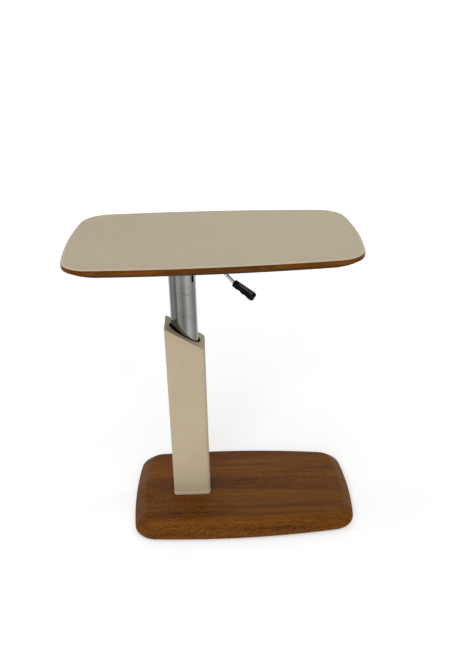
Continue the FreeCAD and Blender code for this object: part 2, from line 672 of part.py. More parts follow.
def bent_line(points, radius):
    """Straight runs joined by tangent arcs."""
    edges = []
    start = points[0]
    for before, corner, after in zip(points, points[1:], points[2:]):
        back = (before - corner).normalize()
        ahead = (after - corner).normalize()
        half_turn = (math.pi - back.getAngle(ahead)) / 2
        reach = radius * math.tan(half_turn)
        enter = corner + back * reach
        leave = corner + ahead * reach
        inward = (back + ahead).normalize()
        middle = corner + inward * (radius / math.cos(half_turn) - radius)
        edges.append(Part.LineSegment(start, enter).toShape())
        edges.append(Part.Arc(enter, middle, leave).toShape())
        start = leave
    edges.append(Part.LineSegment(start, points[-1]).toShape())
    return Part.Wire(edges)


def lever_rod():
    """Round bar, level under the tabletop, then turned down to the paddle."""
    path = bent_line(lever_points(), LEVER_BEND_RADIUS)
    section = Part.makeCircle(LEVER_ROD_DIAMETER / 2, lever_points()[0], Vector(1, 0, 0))
    return in_lever_plane(path.makePipeShell([Part.Wire(section)], True, False))


def lever_paddle():
    """Flared grip with finger scallops below, bored for the rod."""
    root_half = PADDLE_ROOT_WIDTH / 2
    end_half = PADDLE_END_WIDTH / 2
    corners = [(0, -root_half), (PADDLE_LENGTH, -end_half), (PADDLE_LENGTH, end_half), (0, root_half)]
    points = [Vector(px, py, -PADDLE_THICKNESS / 2) for px, py in corners]
    plan = Part.Face(Part.makePolygon(points + points[:1]))
    block = plan.extrude(Vector(0, 0, PADDLE_THICKNESS))
    far_corners = [e for e in block.Edges
                   if abs(e.tangentAt(e.FirstParameter).z) > 0.9 and e.CenterOfMass.x > PADDLE_LENGTH / 2]
    block = block.makeFillet(end_half - PADDLE_ROUNDING, far_corners)
    rims = [e for e in block.Edges if abs(e.tangentAt(e.FirstParameter).z) < 0.1]
    block = block.makeFillet(PADDLE_ROUNDING, rims)
    scallop_z = -PADDLE_THICKNESS / 2 - SCALLOP_RADIUS + SCALLOP_DEPTH
    for i in range(2):
        place = Vector(SCALLOP_FIRST + i * SCALLOP_PITCH, -PADDLE_END_WIDTH, scallop_z)
        block = block.cut(Part.makeCylinder(SCALLOP_RADIUS, 2 * PADDLE_END_WIDTH, place, Vector(0, 1, 0)))
    block.rotate(Vector(0, 0, 0), Vector(0, 1, 0), PADDLE_ANGLE)
    block.translate(lever_points()[2])
    return in_lever_plane(block).cut(lever_rod())


# ---- Tabletop ----
def top_outline(inset):
    """The tabletop's outline, or a line that runs inside it."""
    return board_outline(TOP_X, TOP_LENGTH, TOP_DEPTH, TOP_BOW_LONG, TOP_BOW_SHORT,
                         TOP_TAPER, TOP_CORNER_RADIUS, inset)


def tabletop_core():
    core = slab(top_outline(LIPPING_WIDTH), CORE_BOTTOM, CORE_TOP)
    return core.cut(mount_screw_solids())


def edge_lipping():
    inside = slab(top_outline(LIPPING_WIDTH), CORE_BOTTOM, CORE_TOP)
    return slab(top_outline(0), CORE_BOTTOM, CORE_TOP).cut(inside)


def panel_outline(inset):
    """The underside panel's outline, or a line that runs inside it."""
    return board_outline(TOP_X, TOP_LENGTH, TOP_DEPTH, TOP_BOW_LONG, TOP_BOW_SHORT,
                         TOP_TAPER, PANEL_CORNER_RADIUS, inset)


def underside_panel():
    slope_top = PANEL_BOTTOM + PANEL_BEVEL_RISE
    slope = bevelled(panel_outline(PANEL_BEVEL), PANEL_BOTTOM, panel_outline(0), slope_top)
    rim = slab(panel_outline(0), slope_top, CORE_BOTTOM)
    return slope.fuse(rim).removeSplitter().cut(mount_screw_solids())


def top_leather():
    return slab(top_outline(0), CORE_TOP, TOP_SURFACE)


def all_pieces():
    pieces = {
        "base_board": base_board(),
        "ballast_plate": ballast_plate(),
        "ballast_screws": ballast_screws(),
        "glide_screws": glide_screws(),
        "foot_plate": foot_plate(),
        "foot_bolts": foot_bolts(),
        "collar_plate": collar_plate(),
        "collar_leather": collar_leather(),
        "column_leather": column_leather(),
        "upper_guide": guide(UPPER_GUIDE_TOP, UPPER_GUIDE_HEIGHT),
        "lower_guide": guide(LOWER_GUIDE_TOP, LOWER_GUIDE_HEIGHT),
        "guide_screws": Part.makeCompound(guide_screw_solids()),
        "spring_post": spring_post(),
        "gas_cylinder": gas_cylinder(),
        "gas_piston": gas_piston(),
        "gas_rod": gas_rod(),
        "release_pin": release_pin(),
        "inner_tube": inner_tube(),
        "head_block": head_block(),
        "head_screws": Part.makeCompound(head_screw_solids()),
        "mount_plate": mount_plate(),
        "mount_screws": Part.makeCompound(mount_screw_solids()),
        "lever_pivot_pin": pivot_axis(pivot_length(), PIVOT_DIAMETER),
        "lever_blade": lever_blade(),
        "lever_rod": lever_rod(),
        "lever_paddle": lever_paddle(),
        "tabletop_core": tabletop_core(),
        "edge_lipping": edge_lipping(),
        "underside_panel": underside_panel(),
        "top_leather": top_leather(),
    }
    pieces.update(glides())
    pieces.update(battens())
    pieces.update(casing_boards())
    return pieces


os.makedirs("parts", exist_ok=True)
for name, shape in all_pieces().items():
    shape.exportStep(f"parts/{name}.step")
    size = shape.BoundBox
    print(f"{name:18} solids {len(shape.Solids)}  valid {shape.isValid()}  volume {shape.Volume:12.1f}  "
          f"z {size.ZMin:8.2f} to {size.ZMax:8.2f}")
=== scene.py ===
# %% [markdown]
# # A side table with a bowed top on a leather-clad column
# The table has a base board, a square column clad in leather and cut off on a slant, a chromed
# oval tube that slides in the column, and a tabletop covered with leather. The moving skeleton
# comes from the CAD model. This file loads it, keeps the metal parts as they are, and makes the
# wood, the leather, the stitches and the grip again with the softness that the real ones have.

# %% Load the frame
import json
import math

import bpy
import numpy as np
from mathutils import Matrix, Vector


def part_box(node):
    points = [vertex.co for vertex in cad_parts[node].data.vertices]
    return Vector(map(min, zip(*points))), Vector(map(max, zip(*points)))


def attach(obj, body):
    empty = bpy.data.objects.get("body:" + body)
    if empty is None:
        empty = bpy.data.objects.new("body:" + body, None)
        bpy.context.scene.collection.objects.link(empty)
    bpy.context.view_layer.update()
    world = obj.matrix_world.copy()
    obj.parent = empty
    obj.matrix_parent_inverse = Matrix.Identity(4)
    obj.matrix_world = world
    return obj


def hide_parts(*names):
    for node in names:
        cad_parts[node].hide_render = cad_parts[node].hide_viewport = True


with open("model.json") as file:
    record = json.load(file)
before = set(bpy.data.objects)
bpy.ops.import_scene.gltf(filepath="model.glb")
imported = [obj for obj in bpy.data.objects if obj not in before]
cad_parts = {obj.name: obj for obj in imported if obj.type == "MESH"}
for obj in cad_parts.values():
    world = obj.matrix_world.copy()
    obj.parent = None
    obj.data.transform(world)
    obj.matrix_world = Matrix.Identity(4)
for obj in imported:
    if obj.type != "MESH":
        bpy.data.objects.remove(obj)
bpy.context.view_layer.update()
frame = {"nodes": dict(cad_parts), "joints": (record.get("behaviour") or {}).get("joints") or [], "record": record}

MM = 0.001

# %% [markdown]
# ## Camera
# The table is seen from the front and a little above, so that both the top's surface and the
# column's slanted face show. The camera is given as a place and three axes: to the right, up
# and back. It could be aimed with a constraint, but written axes also hold the small roll.
# The shift only sets where the picture is cut.

# %% Camera
CAMERA_PLACE = (-0.011975, -1.610946, 1.314421)
CAMERA_RIGHT = Vector((0.99946557, -0.01916674, -0.02648042))
CAMERA_UP = Vector((0.03214397, 0.42892915, 0.90276605))
SENSOR_WIDTH, LENS = 36.0, 38.414635        # both in millimetres

camera_data = bpy.data.cameras.new("camera")
camera_data.sensor_width = SENSOR_WIDTH
camera_data.lens = LENS
camera_data.shift_x, camera_data.shift_y = 0.0211, -0.0092
camera_data.clip_start = 0.05
camera = bpy.data.objects.new("camera", camera_data)
camera_axes = Matrix((CAMERA_RIGHT, CAMERA_UP, CAMERA_RIGHT.cross(CAMERA_UP))).transposed()
camera.matrix_world = Matrix.Translation(CAMERA_PLACE) @ camera_axes.to_4x4()
bpy.context.scene.collection.objects.link(camera)
bpy.context.scene.camera = camera
print("Lens", round(camera_data.lens, 1), "mm")

# %% [markdown]
# ## Light, floor and backdrop
# A soft studio: a strong square light low in front at the left, a wide weak one above, a small
# one at each side and a weak one behind. Chrome shows what stands round it, so the lights are
# wide panels, and the tube's dark lines come from the floor, which is shaded further out, as
# black card is used in a real studio. A world picture could do that too, but panels and a
# shaded floor are easier to place.

# %% Light
WORLD_BRIGHTNESS = 0.45
LIGHTS = {      # name: place, target, width of the square in metres, power in watts
    "light_front": ((-0.7, -2.5, 1.2), (-0.05, 0.0, 0.45), 1.2, 27.0),
    "light_left": ((-1.7, 0.3, 1.8), (0.0, 0.0, 0.4), 0.7, 6.0),
    "light_right": ((1.7, 0.3, 1.8), (0.0, 0.0, 0.4), 0.7, 6.0),
    "light_above": ((0.0, -1.0, 2.6), (0.0, 0.0, 0.3), 1.8, 8.0),
    "light_back": ((0.5, 2.3, 1.6), (0.0, 0.0, 0.4), 1.4, 3.0),
}


def aimed(name, data, place, target):
    """Object at a place, with its own -Z axis towards a target."""
    made = bpy.data.objects.new(name, data)
    made.location = place
    made.rotation_euler = (Vector(target) - Vector(place)).to_track_quat("-Z", "Y").to_euler()
    bpy.context.scene.collection.objects.link(made)
    return made


for light_name, (place, target, size, power) in LIGHTS.items():
    light_data = bpy.data.lights.new(light_name, "AREA")
    light_data.shape = "SQUARE"
    light_data.size = size
    light_data.energy = power
    aimed(light_name, light_data, place, target)

world = bpy.data.worlds.new("studio")
bpy.context.scene.world = world
world.use_nodes = True
backdrop = world.node_tree.nodes["Background"]
backdrop.inputs["Color"].default_value = (1.0, 1.0, 1.0, 1.0)
backdrop.inputs["Strength"].default_value = WORLD_BRIGHTNESS
bpy.context.scene.view_settings.view_transform = "Standard"
print(len(LIGHTS), "lights")

# %% [markdown]
# ## Meshes from whole arrays
# Each new piece is a grid of points, worked out by numpy in one go: rows run along a profile
# and columns run round an outline. These helpers turn such a grid into a mesh. A grid can close
# on itself, and can end in a pole, which is one vertex with triangles round it, so that a board
# is a closed solid with nothing left open.

# %% From a grid to a mesh
def grid_faces(rows, columns, wrap):
    """Quads of a grid with point (r, c) at index r * columns + c, facing rows x columns.

    With wrap, the last column joins the first.
    """
    r, c = np.meshgrid(np.arange(rows - 1), np.arange(columns if wrap else columns - 1), indexing="ij")
    after = (c + 1) % columns
    here, below = r * columns, (r + 1) * columns
    return np.stack([here + c, below + c, below + after, here + after], axis=-1).reshape(-1, 4)


def pole_fans(count, last):
    """Triangles that close a wrapped grid at its first and its last row.

    last is the index of the last row's first point. The first row's pole comes right after the
    grid's points, and the last row's pole right after that.
    """
    c = np.arange(count)
    after = (c + 1) % count
    first_pole, last_pole = last + count, last + count + 1
    return np.concatenate([np.stack([np.full(count, first_pole), c, after], axis=1),
                           np.stack([np.full(count, last_pole), last + after, last + c], axis=1)])


def new_piece(name, points, quads, triangles=(), uv=None):
    """Smooth mesh object from arrays of points, quads and triangles; uv is one pair for each corner."""
    quads = np.asarray(quads, np.int32).reshape(-1, 4)
    triangles = np.asarray(triangles, np.int32).reshape(-1, 3)
    corners = np.concatenate([quads.ravel(), triangles.ravel()])
    sizes = np.concatenate([np.full(len(quads), 4), np.full(len(triangles), 3)])
    mesh = bpy.data.meshes.new(name)
    mesh.vertices.add(len(points))
    mesh.vertices.foreach_set("co", np.asarray(points, np.float32).ravel())
    mesh.loops.add(len(corners))
    mesh.loops.foreach_set("vertex_index", corners)
    mesh.polygons.add(len(sizes))
    mesh.polygons.foreach_set("loop_start", np.concatenate([[0], np.cumsum(sizes)[:-1]]))
    mesh.polygons.foreach_set("use_smooth", np.full(len(sizes), True))
    mesh.update(calc_edges=True)
    mesh.validate()
    if uv is not None:
        layer = mesh.uv_layers.new(name="UVMap")
        layer.data.foreach_set("uv", np.asarray(uv, np.float32).ravel())
    made = bpy.data.objects.new(name, mesh)
    bpy.context.scene.collection.objects.link(made)
    print(f"{name}: {len(points)} points, {len(quads) + len(triangles)} faces")
    return made


def grid_uv(rows, columns, along_rows, along_columns):
    """UV of every quad corner of a wrapped grid: u is the way round, v the way along the profile.

    along_columns has one value more than there are columns, so that u runs on over the seam.
    """
    r, c = np.meshgrid(np.arange(rows - 1), np.arange(columns), indexing="ij")
    u = np.stack([c, c, c + 1, c + 1], axis=-1).reshape(-1)
    v = np.stack([r, r + 1, r + 1, r], axis=-1).reshape(-1)
    return np.stack([along_columns[u], along_rows[v]], axis=-1)


# %% [markdown]
# ## The boards' outline
# Base and top share one idea: a rectangle whose four sides bow outwards, whose left end is a
# little deeper than its right end, and whose corners are round. Each side is an arc through
# three points, and each corner is a smaller arc that touches its two sides. A subdivided
# plane could come near it, but arcs give exact widths, and a line that runs any distance
# inside the outline is found by moving along the outline's normals.

# %% Outline of a board
CORNER_POINTS, SIDE_POINTS = 400, 1200      # of the fine drawing, for each arc


def arc_through(first, middle, last):
    """Centre and radius of the circle through three points: the centre is as far from each."""
    rows = 2 * np.array([middle - first, last - first])
    centre = np.linalg.solve(rows, [middle @ middle - first @ first, last @ last - first @ first])
    return centre, np.linalg.norm(first - centre)


def corner_centre(before, after, radius, near):
    """Centre of a corner arc that touches two side arcs from inside.

    It is where two circles cross: each has a side's centre and the side's radius less the corner's.
    """
    (c1, r1), (c2, r2) = (before[0], before[1] - radius), (after[0], after[1] - radius)
    apart = c2 - c1
    gap = np.linalg.norm(apart)
    along = (gap * gap + r1 * r1 - r2 * r2) / (2 * gap)
    ahead = apart / gap
    aside = np.array([-ahead[1], ahead[0]]) * math.sqrt(r1 * r1 - along * along)
    return min((c1 + ahead * along + aside, c1 + ahead * along - aside),
               key=lambda point: np.linalg.norm(point - near))


def arc_points(centre, radius, start, end, count):
    """Points and outward normals on an arc, turning to the left from one direction to another."""
    turn0, turn1 = math.atan2(start[1], start[0]), math.atan2(end[1], end[0])
    turn = np.linspace(turn0, turn1 + (2 * math.pi if turn1 < turn0 else 0), count, endpoint=False)
    normals = np.stack([np.cos(turn), np.sin(turn)], axis=1)
    return centre + radius * normals, normals


def board_outline(low, high, bow_long, bow_short, taper, radius, count):
    """Closed outline in a box: points, normals and the way along, all evenly spaced.

    Four side arcs and four corner arcs are drawn finely, and the line is then divided again
    into count equal steps.
    """
    centre = (low + high) / 2
    half_long, half_deep = (high - low) / 2
    end, left, right = half_long - bow_short, half_deep - bow_long + taper, half_deep - bow_long - taper
    corners = np.array([(-end, -left), (end, -right), (end, right), (-end, left)])
    middles = np.array([(0, -half_deep), (half_long, 0), (0, half_deep), (-half_long, 0)])
    sides = [arc_through(corners[i], middles[i], corners[(i + 1) % 4]) for i in range(4)]
    bends = [corner_centre(sides[i - 1], sides[i], radius, corners[i]) for i in range(4)]
    points, normals = [], []
    for i in range(4):
        (c0, _), (c1, r1), following = sides[i - 1], sides[i], bends[(i + 1) % 4]
        for arc in (arc_points(bends[i], radius, bends[i] - c0, bends[i] - c1, CORNER_POINTS),
                    arc_points(c1, r1, bends[i] - c1, following - c1, SIDE_POINTS)):
            points.append(arc[0])
            normals.append(arc[1])
    points, normals = np.concatenate(points), np.concatenate(normals)
    closed = np.concatenate([points, points[:1]])
    way = np.concatenate([[0], np.cumsum(np.linalg.norm(np.diff(closed, axis=0), axis=1))])
    steps = np.linspace(0, way[-1], count + 1)
    turns = np.unwrap(np.arctan2(normals[:, 1], normals[:, 0]))
    turns = np.interp(steps[:-1], way, np.append(turns, turns[0] + 2 * math.pi))
    even = np.stack([np.interp(steps[:-1], way, closed[:, k]) for k in (0, 1)], axis=1)
    return even + centre, np.stack([np.cos(turns), np.sin(turns)], axis=1), steps


TOP_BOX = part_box("edge_lipping")
BASE_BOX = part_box("base_board")
TOP_BOWS, TOP_TAPER, TOP_CORNER = (16 * MM, 18 * MM), 9.8 * MM, 72 * MM
BASE_BOWS, BASE_TAPER, BASE_CORNER = (18 * MM, 14 * MM), 9 * MM, 63 * MM
OUTLINE_POINTS = 720


def flat(corner):
    """X and Y of a corner, as an array."""
    return np.array(corner[:2])


def top_outline(count=OUTLINE_POINTS, radius=TOP_CORNER):
    """Outline of the tabletop."""
    return board_outline(flat(TOP_BOX[0]), flat(TOP_BOX[1]), *TOP_BOWS, TOP_TAPER, radius, count)


def base_outline(count=OUTLINE_POINTS):
    """Outline of the base board."""
    return board_outline(flat(BASE_BOX[0]), flat(BASE_BOX[1]), *BASE_BOWS, BASE_TAPER, BASE_CORNER, count)


TOP_ROUND = top_outline()[2][-1]
print("The tabletop's edge is", round(TOP_ROUND, 3), "m round")

# %% [markdown]
# A profile is a short list of corners, each with a rounding radius. Real edges are never
# sharp, and a small arc at each corner catches the light as a real edge does. A Bevel
# modifier would do this too, but a rounded profile keeps the grid in even rows.

# %% Profile with rounded corners
def rounded_profile(corners, steps=5):
    """Line through corners (a, b, radius), with each corner cut short by a circular arc.

    The arc starts and ends at the same distance from the corner, and is drawn as the curve
    p = (1 - t)^2 A + 2 t (1 - t) C + t^2 B, which is near to a circle for such short turns.
    """
    spots = np.array([corner[:2] for corner in corners], float)
    line = [spots[:1]]
    t = np.linspace(0, 1, steps)[:, None]
    for i in range(1, len(corners) - 1):
        back, ahead = spots[i - 1] - spots[i], spots[i + 1] - spots[i]
        back_way, ahead_way = np.linalg.norm(back), np.linalg.norm(ahead)
        cut = min(corners[i][2], 0.49 * back_way, 0.49 * ahead_way)
        if cut <= 0:
            line.append(spots[i:i + 1])
            continue
        a, b = spots[i] + back / back_way * cut, spots[i] + ahead / ahead_way * cut
        line.append((1 - t) ** 2 * a + 2 * t * (1 - t) * spots[i] + t ** 2 * b)
    line.append(spots[-1:])
    return np.concatenate(line)


def way_along(line):
    """Distance along a line of points, from its start."""
    return np.concatenate([[0], np.cumsum(np.linalg.norm(np.diff(line, axis=0), axis=1))])


# %% [markdown]
# ## A board from an outline and a profile
# The profile gives how far inside the outline each row runs, and how high. Rows that would
# pass the corner arcs' centres are made by shrinking the last row towards the middle instead.

# %% Board
SHRINKS = np.array([0.85, 0.6, 0.3])
DEEPEST_INSET = 0.055   # a little less than the smallest corner radius
ROW_STEP = 0.05         # v from one shrunk row to the next, where no grain has to follow the profile


def ring(outline, inset, height):
    """Row of points inside an outline: each point moves back along its normal by inset."""
    points, normals = outline[0], outline[1]
    inset = np.broadcast_to(inset, len(points))[:, None]
    height = np.broadcast_to(height, len(points))[:, None]
    return np.hstack([points - normals * inset, height])


def shrunk(row, share):
    """Row moved towards its own middle, to that share of its size, at its own mean height."""
    middle = row.mean(axis=0)
    return middle + (row - middle) * share


def board(name, outline, rows, v):
    """Closed board: rows from the top's inner line, over the edge, to the underside's inner line.

    Both faces are closed by shrunk copies of their rows, and by a pole at the middle.
    """
    above = [shrunk(rows[0], s) for s in SHRINKS[::-1]]
    below = [shrunk(rows[-1], s) for s in SHRINKS]
    stack = np.array(above + list(rows) + below)
    count = len(outline[0])
    edge_v = np.concatenate([v[0] - ROW_STEP * np.arange(len(above), 0, -1), v,
                             v[-1] + ROW_STEP * np.arange(1, len(below) + 1)])
    points = np.concatenate([stack.reshape(-1, 3), [stack[0].mean(axis=0), stack[-1].mean(axis=0)]])
    quads = grid_faces(len(stack), count, wrap=True)
    uv = grid_uv(len(stack), count, edge_v, outline[2])
    fans = pole_fans(count, (len(stack) - 1) * count)
    fan_uv = np.zeros((len(fans) * 3, 2))
    return new_piece(name, points, quads, fans, uv=np.concatenate([uv, fan_uv]))


# %% [markdown]
# ## Shader maths
# A material here is a small sum: streaks plus pores plus a slow change of tone. `Wire` is a
# socket that understands + - * /, so the sums can be written down as they are thought of, and
# `Finish` is one material with a single method that adds any node. Drawing the nodes by hand
# gives the same result, but a written sum is easier to read and to change.

# %% Wires and finishes
class Wire:
    """Output socket of a node; each arithmetic sign adds a Math node after it."""

    def __init__(self, finish, socket):
        self.finish, self.socket = finish, socket

    def maths(self, operation, first, second):
        return self.finish.node("Math", {"operation": operation}, {0: first, 1: second})

    def __add__(self, other):
        return self.maths("ADD", self, other)

    def __sub__(self, other):
        return self.maths("SUBTRACT", self, other)

    def __rsub__(self, other):
        return self.maths("SUBTRACT", other, self)

    def __mul__(self, other):
        return self.maths("MULTIPLY", self, other)

    def __truediv__(self, other):
        return self.maths("DIVIDE", self, other)

    def __rtruediv__(self, other):
        return self.maths("DIVIDE", other, self)

    def __abs__(self):
        return self.finish.node("Math", {"operation": "ABSOLUTE"}, {0: self})

    def sine(self):
        return self.finish.node("Math", {"operation": "SINE"}, {0: self})

    __radd__, __rmul__ = __add__, __mul__


class Finish:
    """One material on the Principled shader. Constants go straight onto the shader's sockets."""

    def __init__(self, name, **constants):
        self.material = bpy.data.materials.new(name)
        self.material.use_nodes = True
        self.tree = self.material.node_tree
        self.shader = self.tree.nodes["Principled BSDF"]
        for socket, value in constants.items():
            self.shader.inputs[socket.replace("_", " ")].default_value = value
        self.place = self.node("TexCoord", output="Object")

    def node(self, kind, settings=None, sockets=None, output=0):
        """Adds a node: its settings first, then the values or wires of its sockets."""
        made = self.tree.nodes.new("ShaderNode" + kind)
        for key, value in (settings or {}).items():
            if key == "stops":
                while len(made.color_ramp.elements) < len(value):
                    made.color_ramp.elements.new(0.5)
                for element, (position, colour) in zip(made.color_ramp.elements, value):
                    element.position, element.color = position, (*colour, 1.0)
            else:
                setattr(made, key, value)
        for key, value in (sockets or {}).items():
            self.feed(made.inputs[key], value)
        return Wire(self, made.outputs[output])

    def feed(self, socket, value):
        """Links a wire to a socket, or sets the socket's value."""
        if isinstance(value, Wire):
            self.tree.links.new(value.socket, socket)
        else:
            socket.default_value = value

    def stretched(self, x, y, z, where=None):
        """Object coordinates, or other ones, multiplied on each axis."""
        return self.node("Mapping", None, {"Vector": where or self.place, "Scale": (x, y, z)})

    def parts(self, where):
        """X, Y and Z of a vector, as three wires."""
        first = self.node("SeparateXYZ", None, {0: where})
        return [Wire(self, socket) for socket in first.socket.node.outputs]

    def noise(self, where, scale, detail=2.0, roughness=0.5, distortion=0.0):
        """Soft noise between 0 and 1, most often near 0.5."""
        return self.node("TexNoise", None, {"Vector": where, "Scale": scale, "Detail": detail,
                                            "Roughness": roughness, "Distortion": distortion})

    def ramp(self, factor, *stops):
        """Colour that changes along stops of (position, (red, green, blue))."""
        return self.node("ValToRGB", {"stops": stops}, {"Fac": factor})

    def between(self, value, low, high):
        """0 up to low, 1 from high, smooth between."""
        return self.node("MapRange", {"interpolation_type": "SMOOTHSTEP"},
                         {"Value": value, "From Min": low, "From Max": high})

    def blend(self, factor, first, second, how="MIX"):
        """Mix of two colours."""
        sockets = {0: factor, 6: first, 7: second}
        sockets = {k: (*v, 1.0) if isinstance(v, tuple) and len(v) == 3 else v for k, v in sockets.items()}
        return self.node("Mix", {"data_type": "RGBA", "blend_type": how}, sockets, output=2)

    def colour(self, wire):
        self.feed(self.shader.inputs["Base Color"], wire)

    def rough(self, wire):
        self.feed(self.shader.inputs["Roughness"], wire)

    def relief(self, height, distance, strength=1.0):
        """Bumps the surface by a height between 0 and 1, which stands for that distance."""
        bump = self.node("Bump", None, {"Height": height, "Distance": distance, "Strength": strength})
        self.feed(self.shader.inputs["Normal"], bump)


def wear(piece, finish):
    """Gives a piece its finish."""
    piece.data.materials.clear()
    piece.data.materials.append(finish.material)
    return piece


# %% [markdown]
# ## Wood
# The base is one board of straight-grained brown wood. Its grain is noise pulled out along X:
# a slow set of stripes, a finer set of streaks, and short dark pores. Near the left front the
# saw cut through the growth rings, which gives a figure of nested arches: the distance along
# X plus a multiple of the square of the distance across, cut into bands by a sine.

# %% Wood of the base
ARCH_BEND, ARCH_PITCH, ARCH_DEPTH = 75.0, 330.0, 0.07
FLECK_DEPTH = 0.45


def with_figure(made, tone, bent, lines, slow, figure):
    """Tone with nested arches round figure on the top, and with dark and pale flecks on the slope.

    The arches are the cube of a sine of (x + bend * y^2), faded out away from their middle.
    """
    x, y, z = made.parts(bent)
    from_middle, across = x - figure[0], y - figure[1]
    reach = from_middle + across * across * ARCH_BEND
    arches = (reach * ARCH_PITCH + lines * 5.0 + slow * 9.0).sine() * 0.5 + 0.5
    arches = arches * arches * arches * -1.0 + 0.3
    near_x = made.between(from_middle, -0.05, 0.02) * (1.0 - made.between(from_middle, 0.08, 0.24))
    near_y = 1.0 - made.between(abs(across), 0.020, 0.045)
    flecks = made.noise(made.stretched(120.0, 260.0, 260.0), 1.0, 2.0, 0.6)
    top = BASE_BOX[1].z
    below_top = 1.0 - made.between(z, top - 4 * MM, top)
    return tone + arches * near_x * near_y * ARCH_DEPTH + (flecks - 0.5) * below_top * FLECK_DEPTH


def wood(name, pale, mid, dark, figure=None, roughness=0.42, shine=0.06):
    """Satin wood with its grain along X. figure is the (x, y) of the arches' middle."""
    made = Finish(name, Specular_IOR_Level=shine)
    warp = made.noise(made.stretched(3.0, 9.0, 9.0), 1.0, 2.0)
    bent = made.node("VectorMath", {"operation": "MULTIPLY_ADD"},
                     {0: made.node("CombineXYZ", None, {"X": 0.0, "Y": warp - 0.5, "Z": warp - 0.5}),
                      1: (0.035, 0.035, 0.035), 2: made.place})
    slow = made.noise(made.stretched(2.0, 42.0, 42.0, bent), 1.0, 2.0, 0.5)
    lines = made.noise(made.stretched(4.0, 210.0, 210.0, bent), 1.0, 4.0, 0.7)
    fine = made.noise(made.stretched(26.0, 900.0, 900.0, bent), 1.0, 2.0, 0.6)
    pores = made.noise(made.stretched(75.0, 620.0, 620.0), 1.0, 2.0)
    tone = slow * 0.34 + lines * 0.40 + fine * 0.26
    if figure:
        tone = with_figure(made, tone, bent, lines, slow, figure)
    colour = made.ramp(tone, (0.36, dark), (0.48, mid), (0.61, pale))
    pore = made.between(pores, 0.58, 0.70)
    made.colour(made.blend(pore * 0.6, colour, dark))
    made.rough(made.between(lines, 0.2, 0.8) * 0.14 + (roughness - 0.07))
    made.relief(fine * 0.6 - pore * 0.6, 0.10 * MM)
    return made


base_finish = wood("base_wood", (0.205, 0.073, 0.008), (0.128, 0.043, 0.006), (0.058, 0.019, 0.005),
                   figure=(-0.205, -0.075), shine=0.045)
under_finish = wood("underside_wood", (0.120, 0.062, 0.030), (0.080, 0.040, 0.019), (0.042, 0.020, 0.010),
                    roughness=0.5, shine=0.03)
board_finish = wood("plain_board", (0.62, 0.48, 0.31), (0.52, 0.39, 0.25), (0.40, 0.29, 0.18),
                    roughness=0.7)
# Near black board round the oval hole: painted shade, so that the inside of the hole shows dark.
collar_shade_finish = wood("collar_shade_board", (0.010, 0.009, 0.008), (0.006, 0.005, 0.005), (0.003, 0.003, 0.003),
                      roughness=0.7, shine=0.02)

# %% [markdown]
# ## Base board
# One solid board, about 33 mm thick, with a wide soft slope round its rim and a shallow pocket
# below for the iron that keeps the table from tipping. It is turned out of the outline and a
# profile. The slope's upper edge is very soft, and its lower edge a little sharper.

# %% Base board
BASE_LOW, BASE_TOP = BASE_BOX[0].z, BASE_BOX[1].z
BASE_LIP, BASE_SLOPE = 9 * MM, 30 * MM
POCKET_ROOM = 1 * MM        # round the iron
EDGE_ROW = 0.2 * MM         # a row this close to an edge keeps the edge crisp


def pocket_row(outline, plate_low, plate_high, height):
    """Row on a rectangle: each point lies where the ray to an outline point leaves the rectangle.

    The ray's direction is scaled until its larger share of the half width or half depth is 1,
    and the four nearest points are moved onto the corners.
    """
    middle, half = (plate_low + plate_high) / 2, (plate_high - plate_low) / 2
    ray = outline[0] - middle
    row = ray / np.abs(ray / half).max(axis=1, keepdims=True)
    for sx, sy in ((-1, -1), (1, -1), (1, 1), (-1, 1)):
        corner = half * (sx, sy)
        row[np.linalg.norm(row - corner, axis=1).argmin()] = corner
    return np.hstack([row + middle, np.full((len(row), 1), height)])


def make_base():
    """Top from a rounded profile; the underside runs in to a rectangular pocket."""
    outline = base_outline()
    profile = rounded_profile([(DEEPEST_INSET, BASE_TOP, 0), (BASE_SLOPE, BASE_TOP, 6 * MM),
                               (0.0, BASE_LOW + BASE_LIP, 4 * MM), (0.0, BASE_LOW, 1.5 * MM),
                               (0.012, BASE_LOW, 0)], steps=9)
    rows = [ring(outline, inset, height) for inset, height in profile]
    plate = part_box("ballast_plate")
    low, high = flat(plate[0]) - POCKET_ROOM, flat(plate[1]) + POCKET_ROOM
    heights = (BASE_LOW, BASE_LOW + EDGE_ROW, plate[1].z - EDGE_ROW, plate[1].z)
    rows += [pocket_row(outline, low, high, height) for height in heights]
    v = way_along(profile)
    v = np.concatenate([v, v[-1] + ROW_STEP * np.arange(1, len(heights) + 1)])
    return board("base_board_soft", outline, rows, v)


base = wear(make_base(), base_finish)
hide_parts("base_board")
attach(base, "base")

# %% [markdown]
# ## Edge of the tabletop
# A strip of solid wood runs round the board's edge, orange-brown under satin lacquer, with
# its grain along the edge. Grain that follows a bend needs coordinates that follow it too: u is
# the way round the outline and v the way down the strip.

# %% Edge band
TOP_LOW, TOP_HIGH = TOP_BOX[0].z, TOP_BOX[1].z
EDGE_WIDTH = 12 * MM


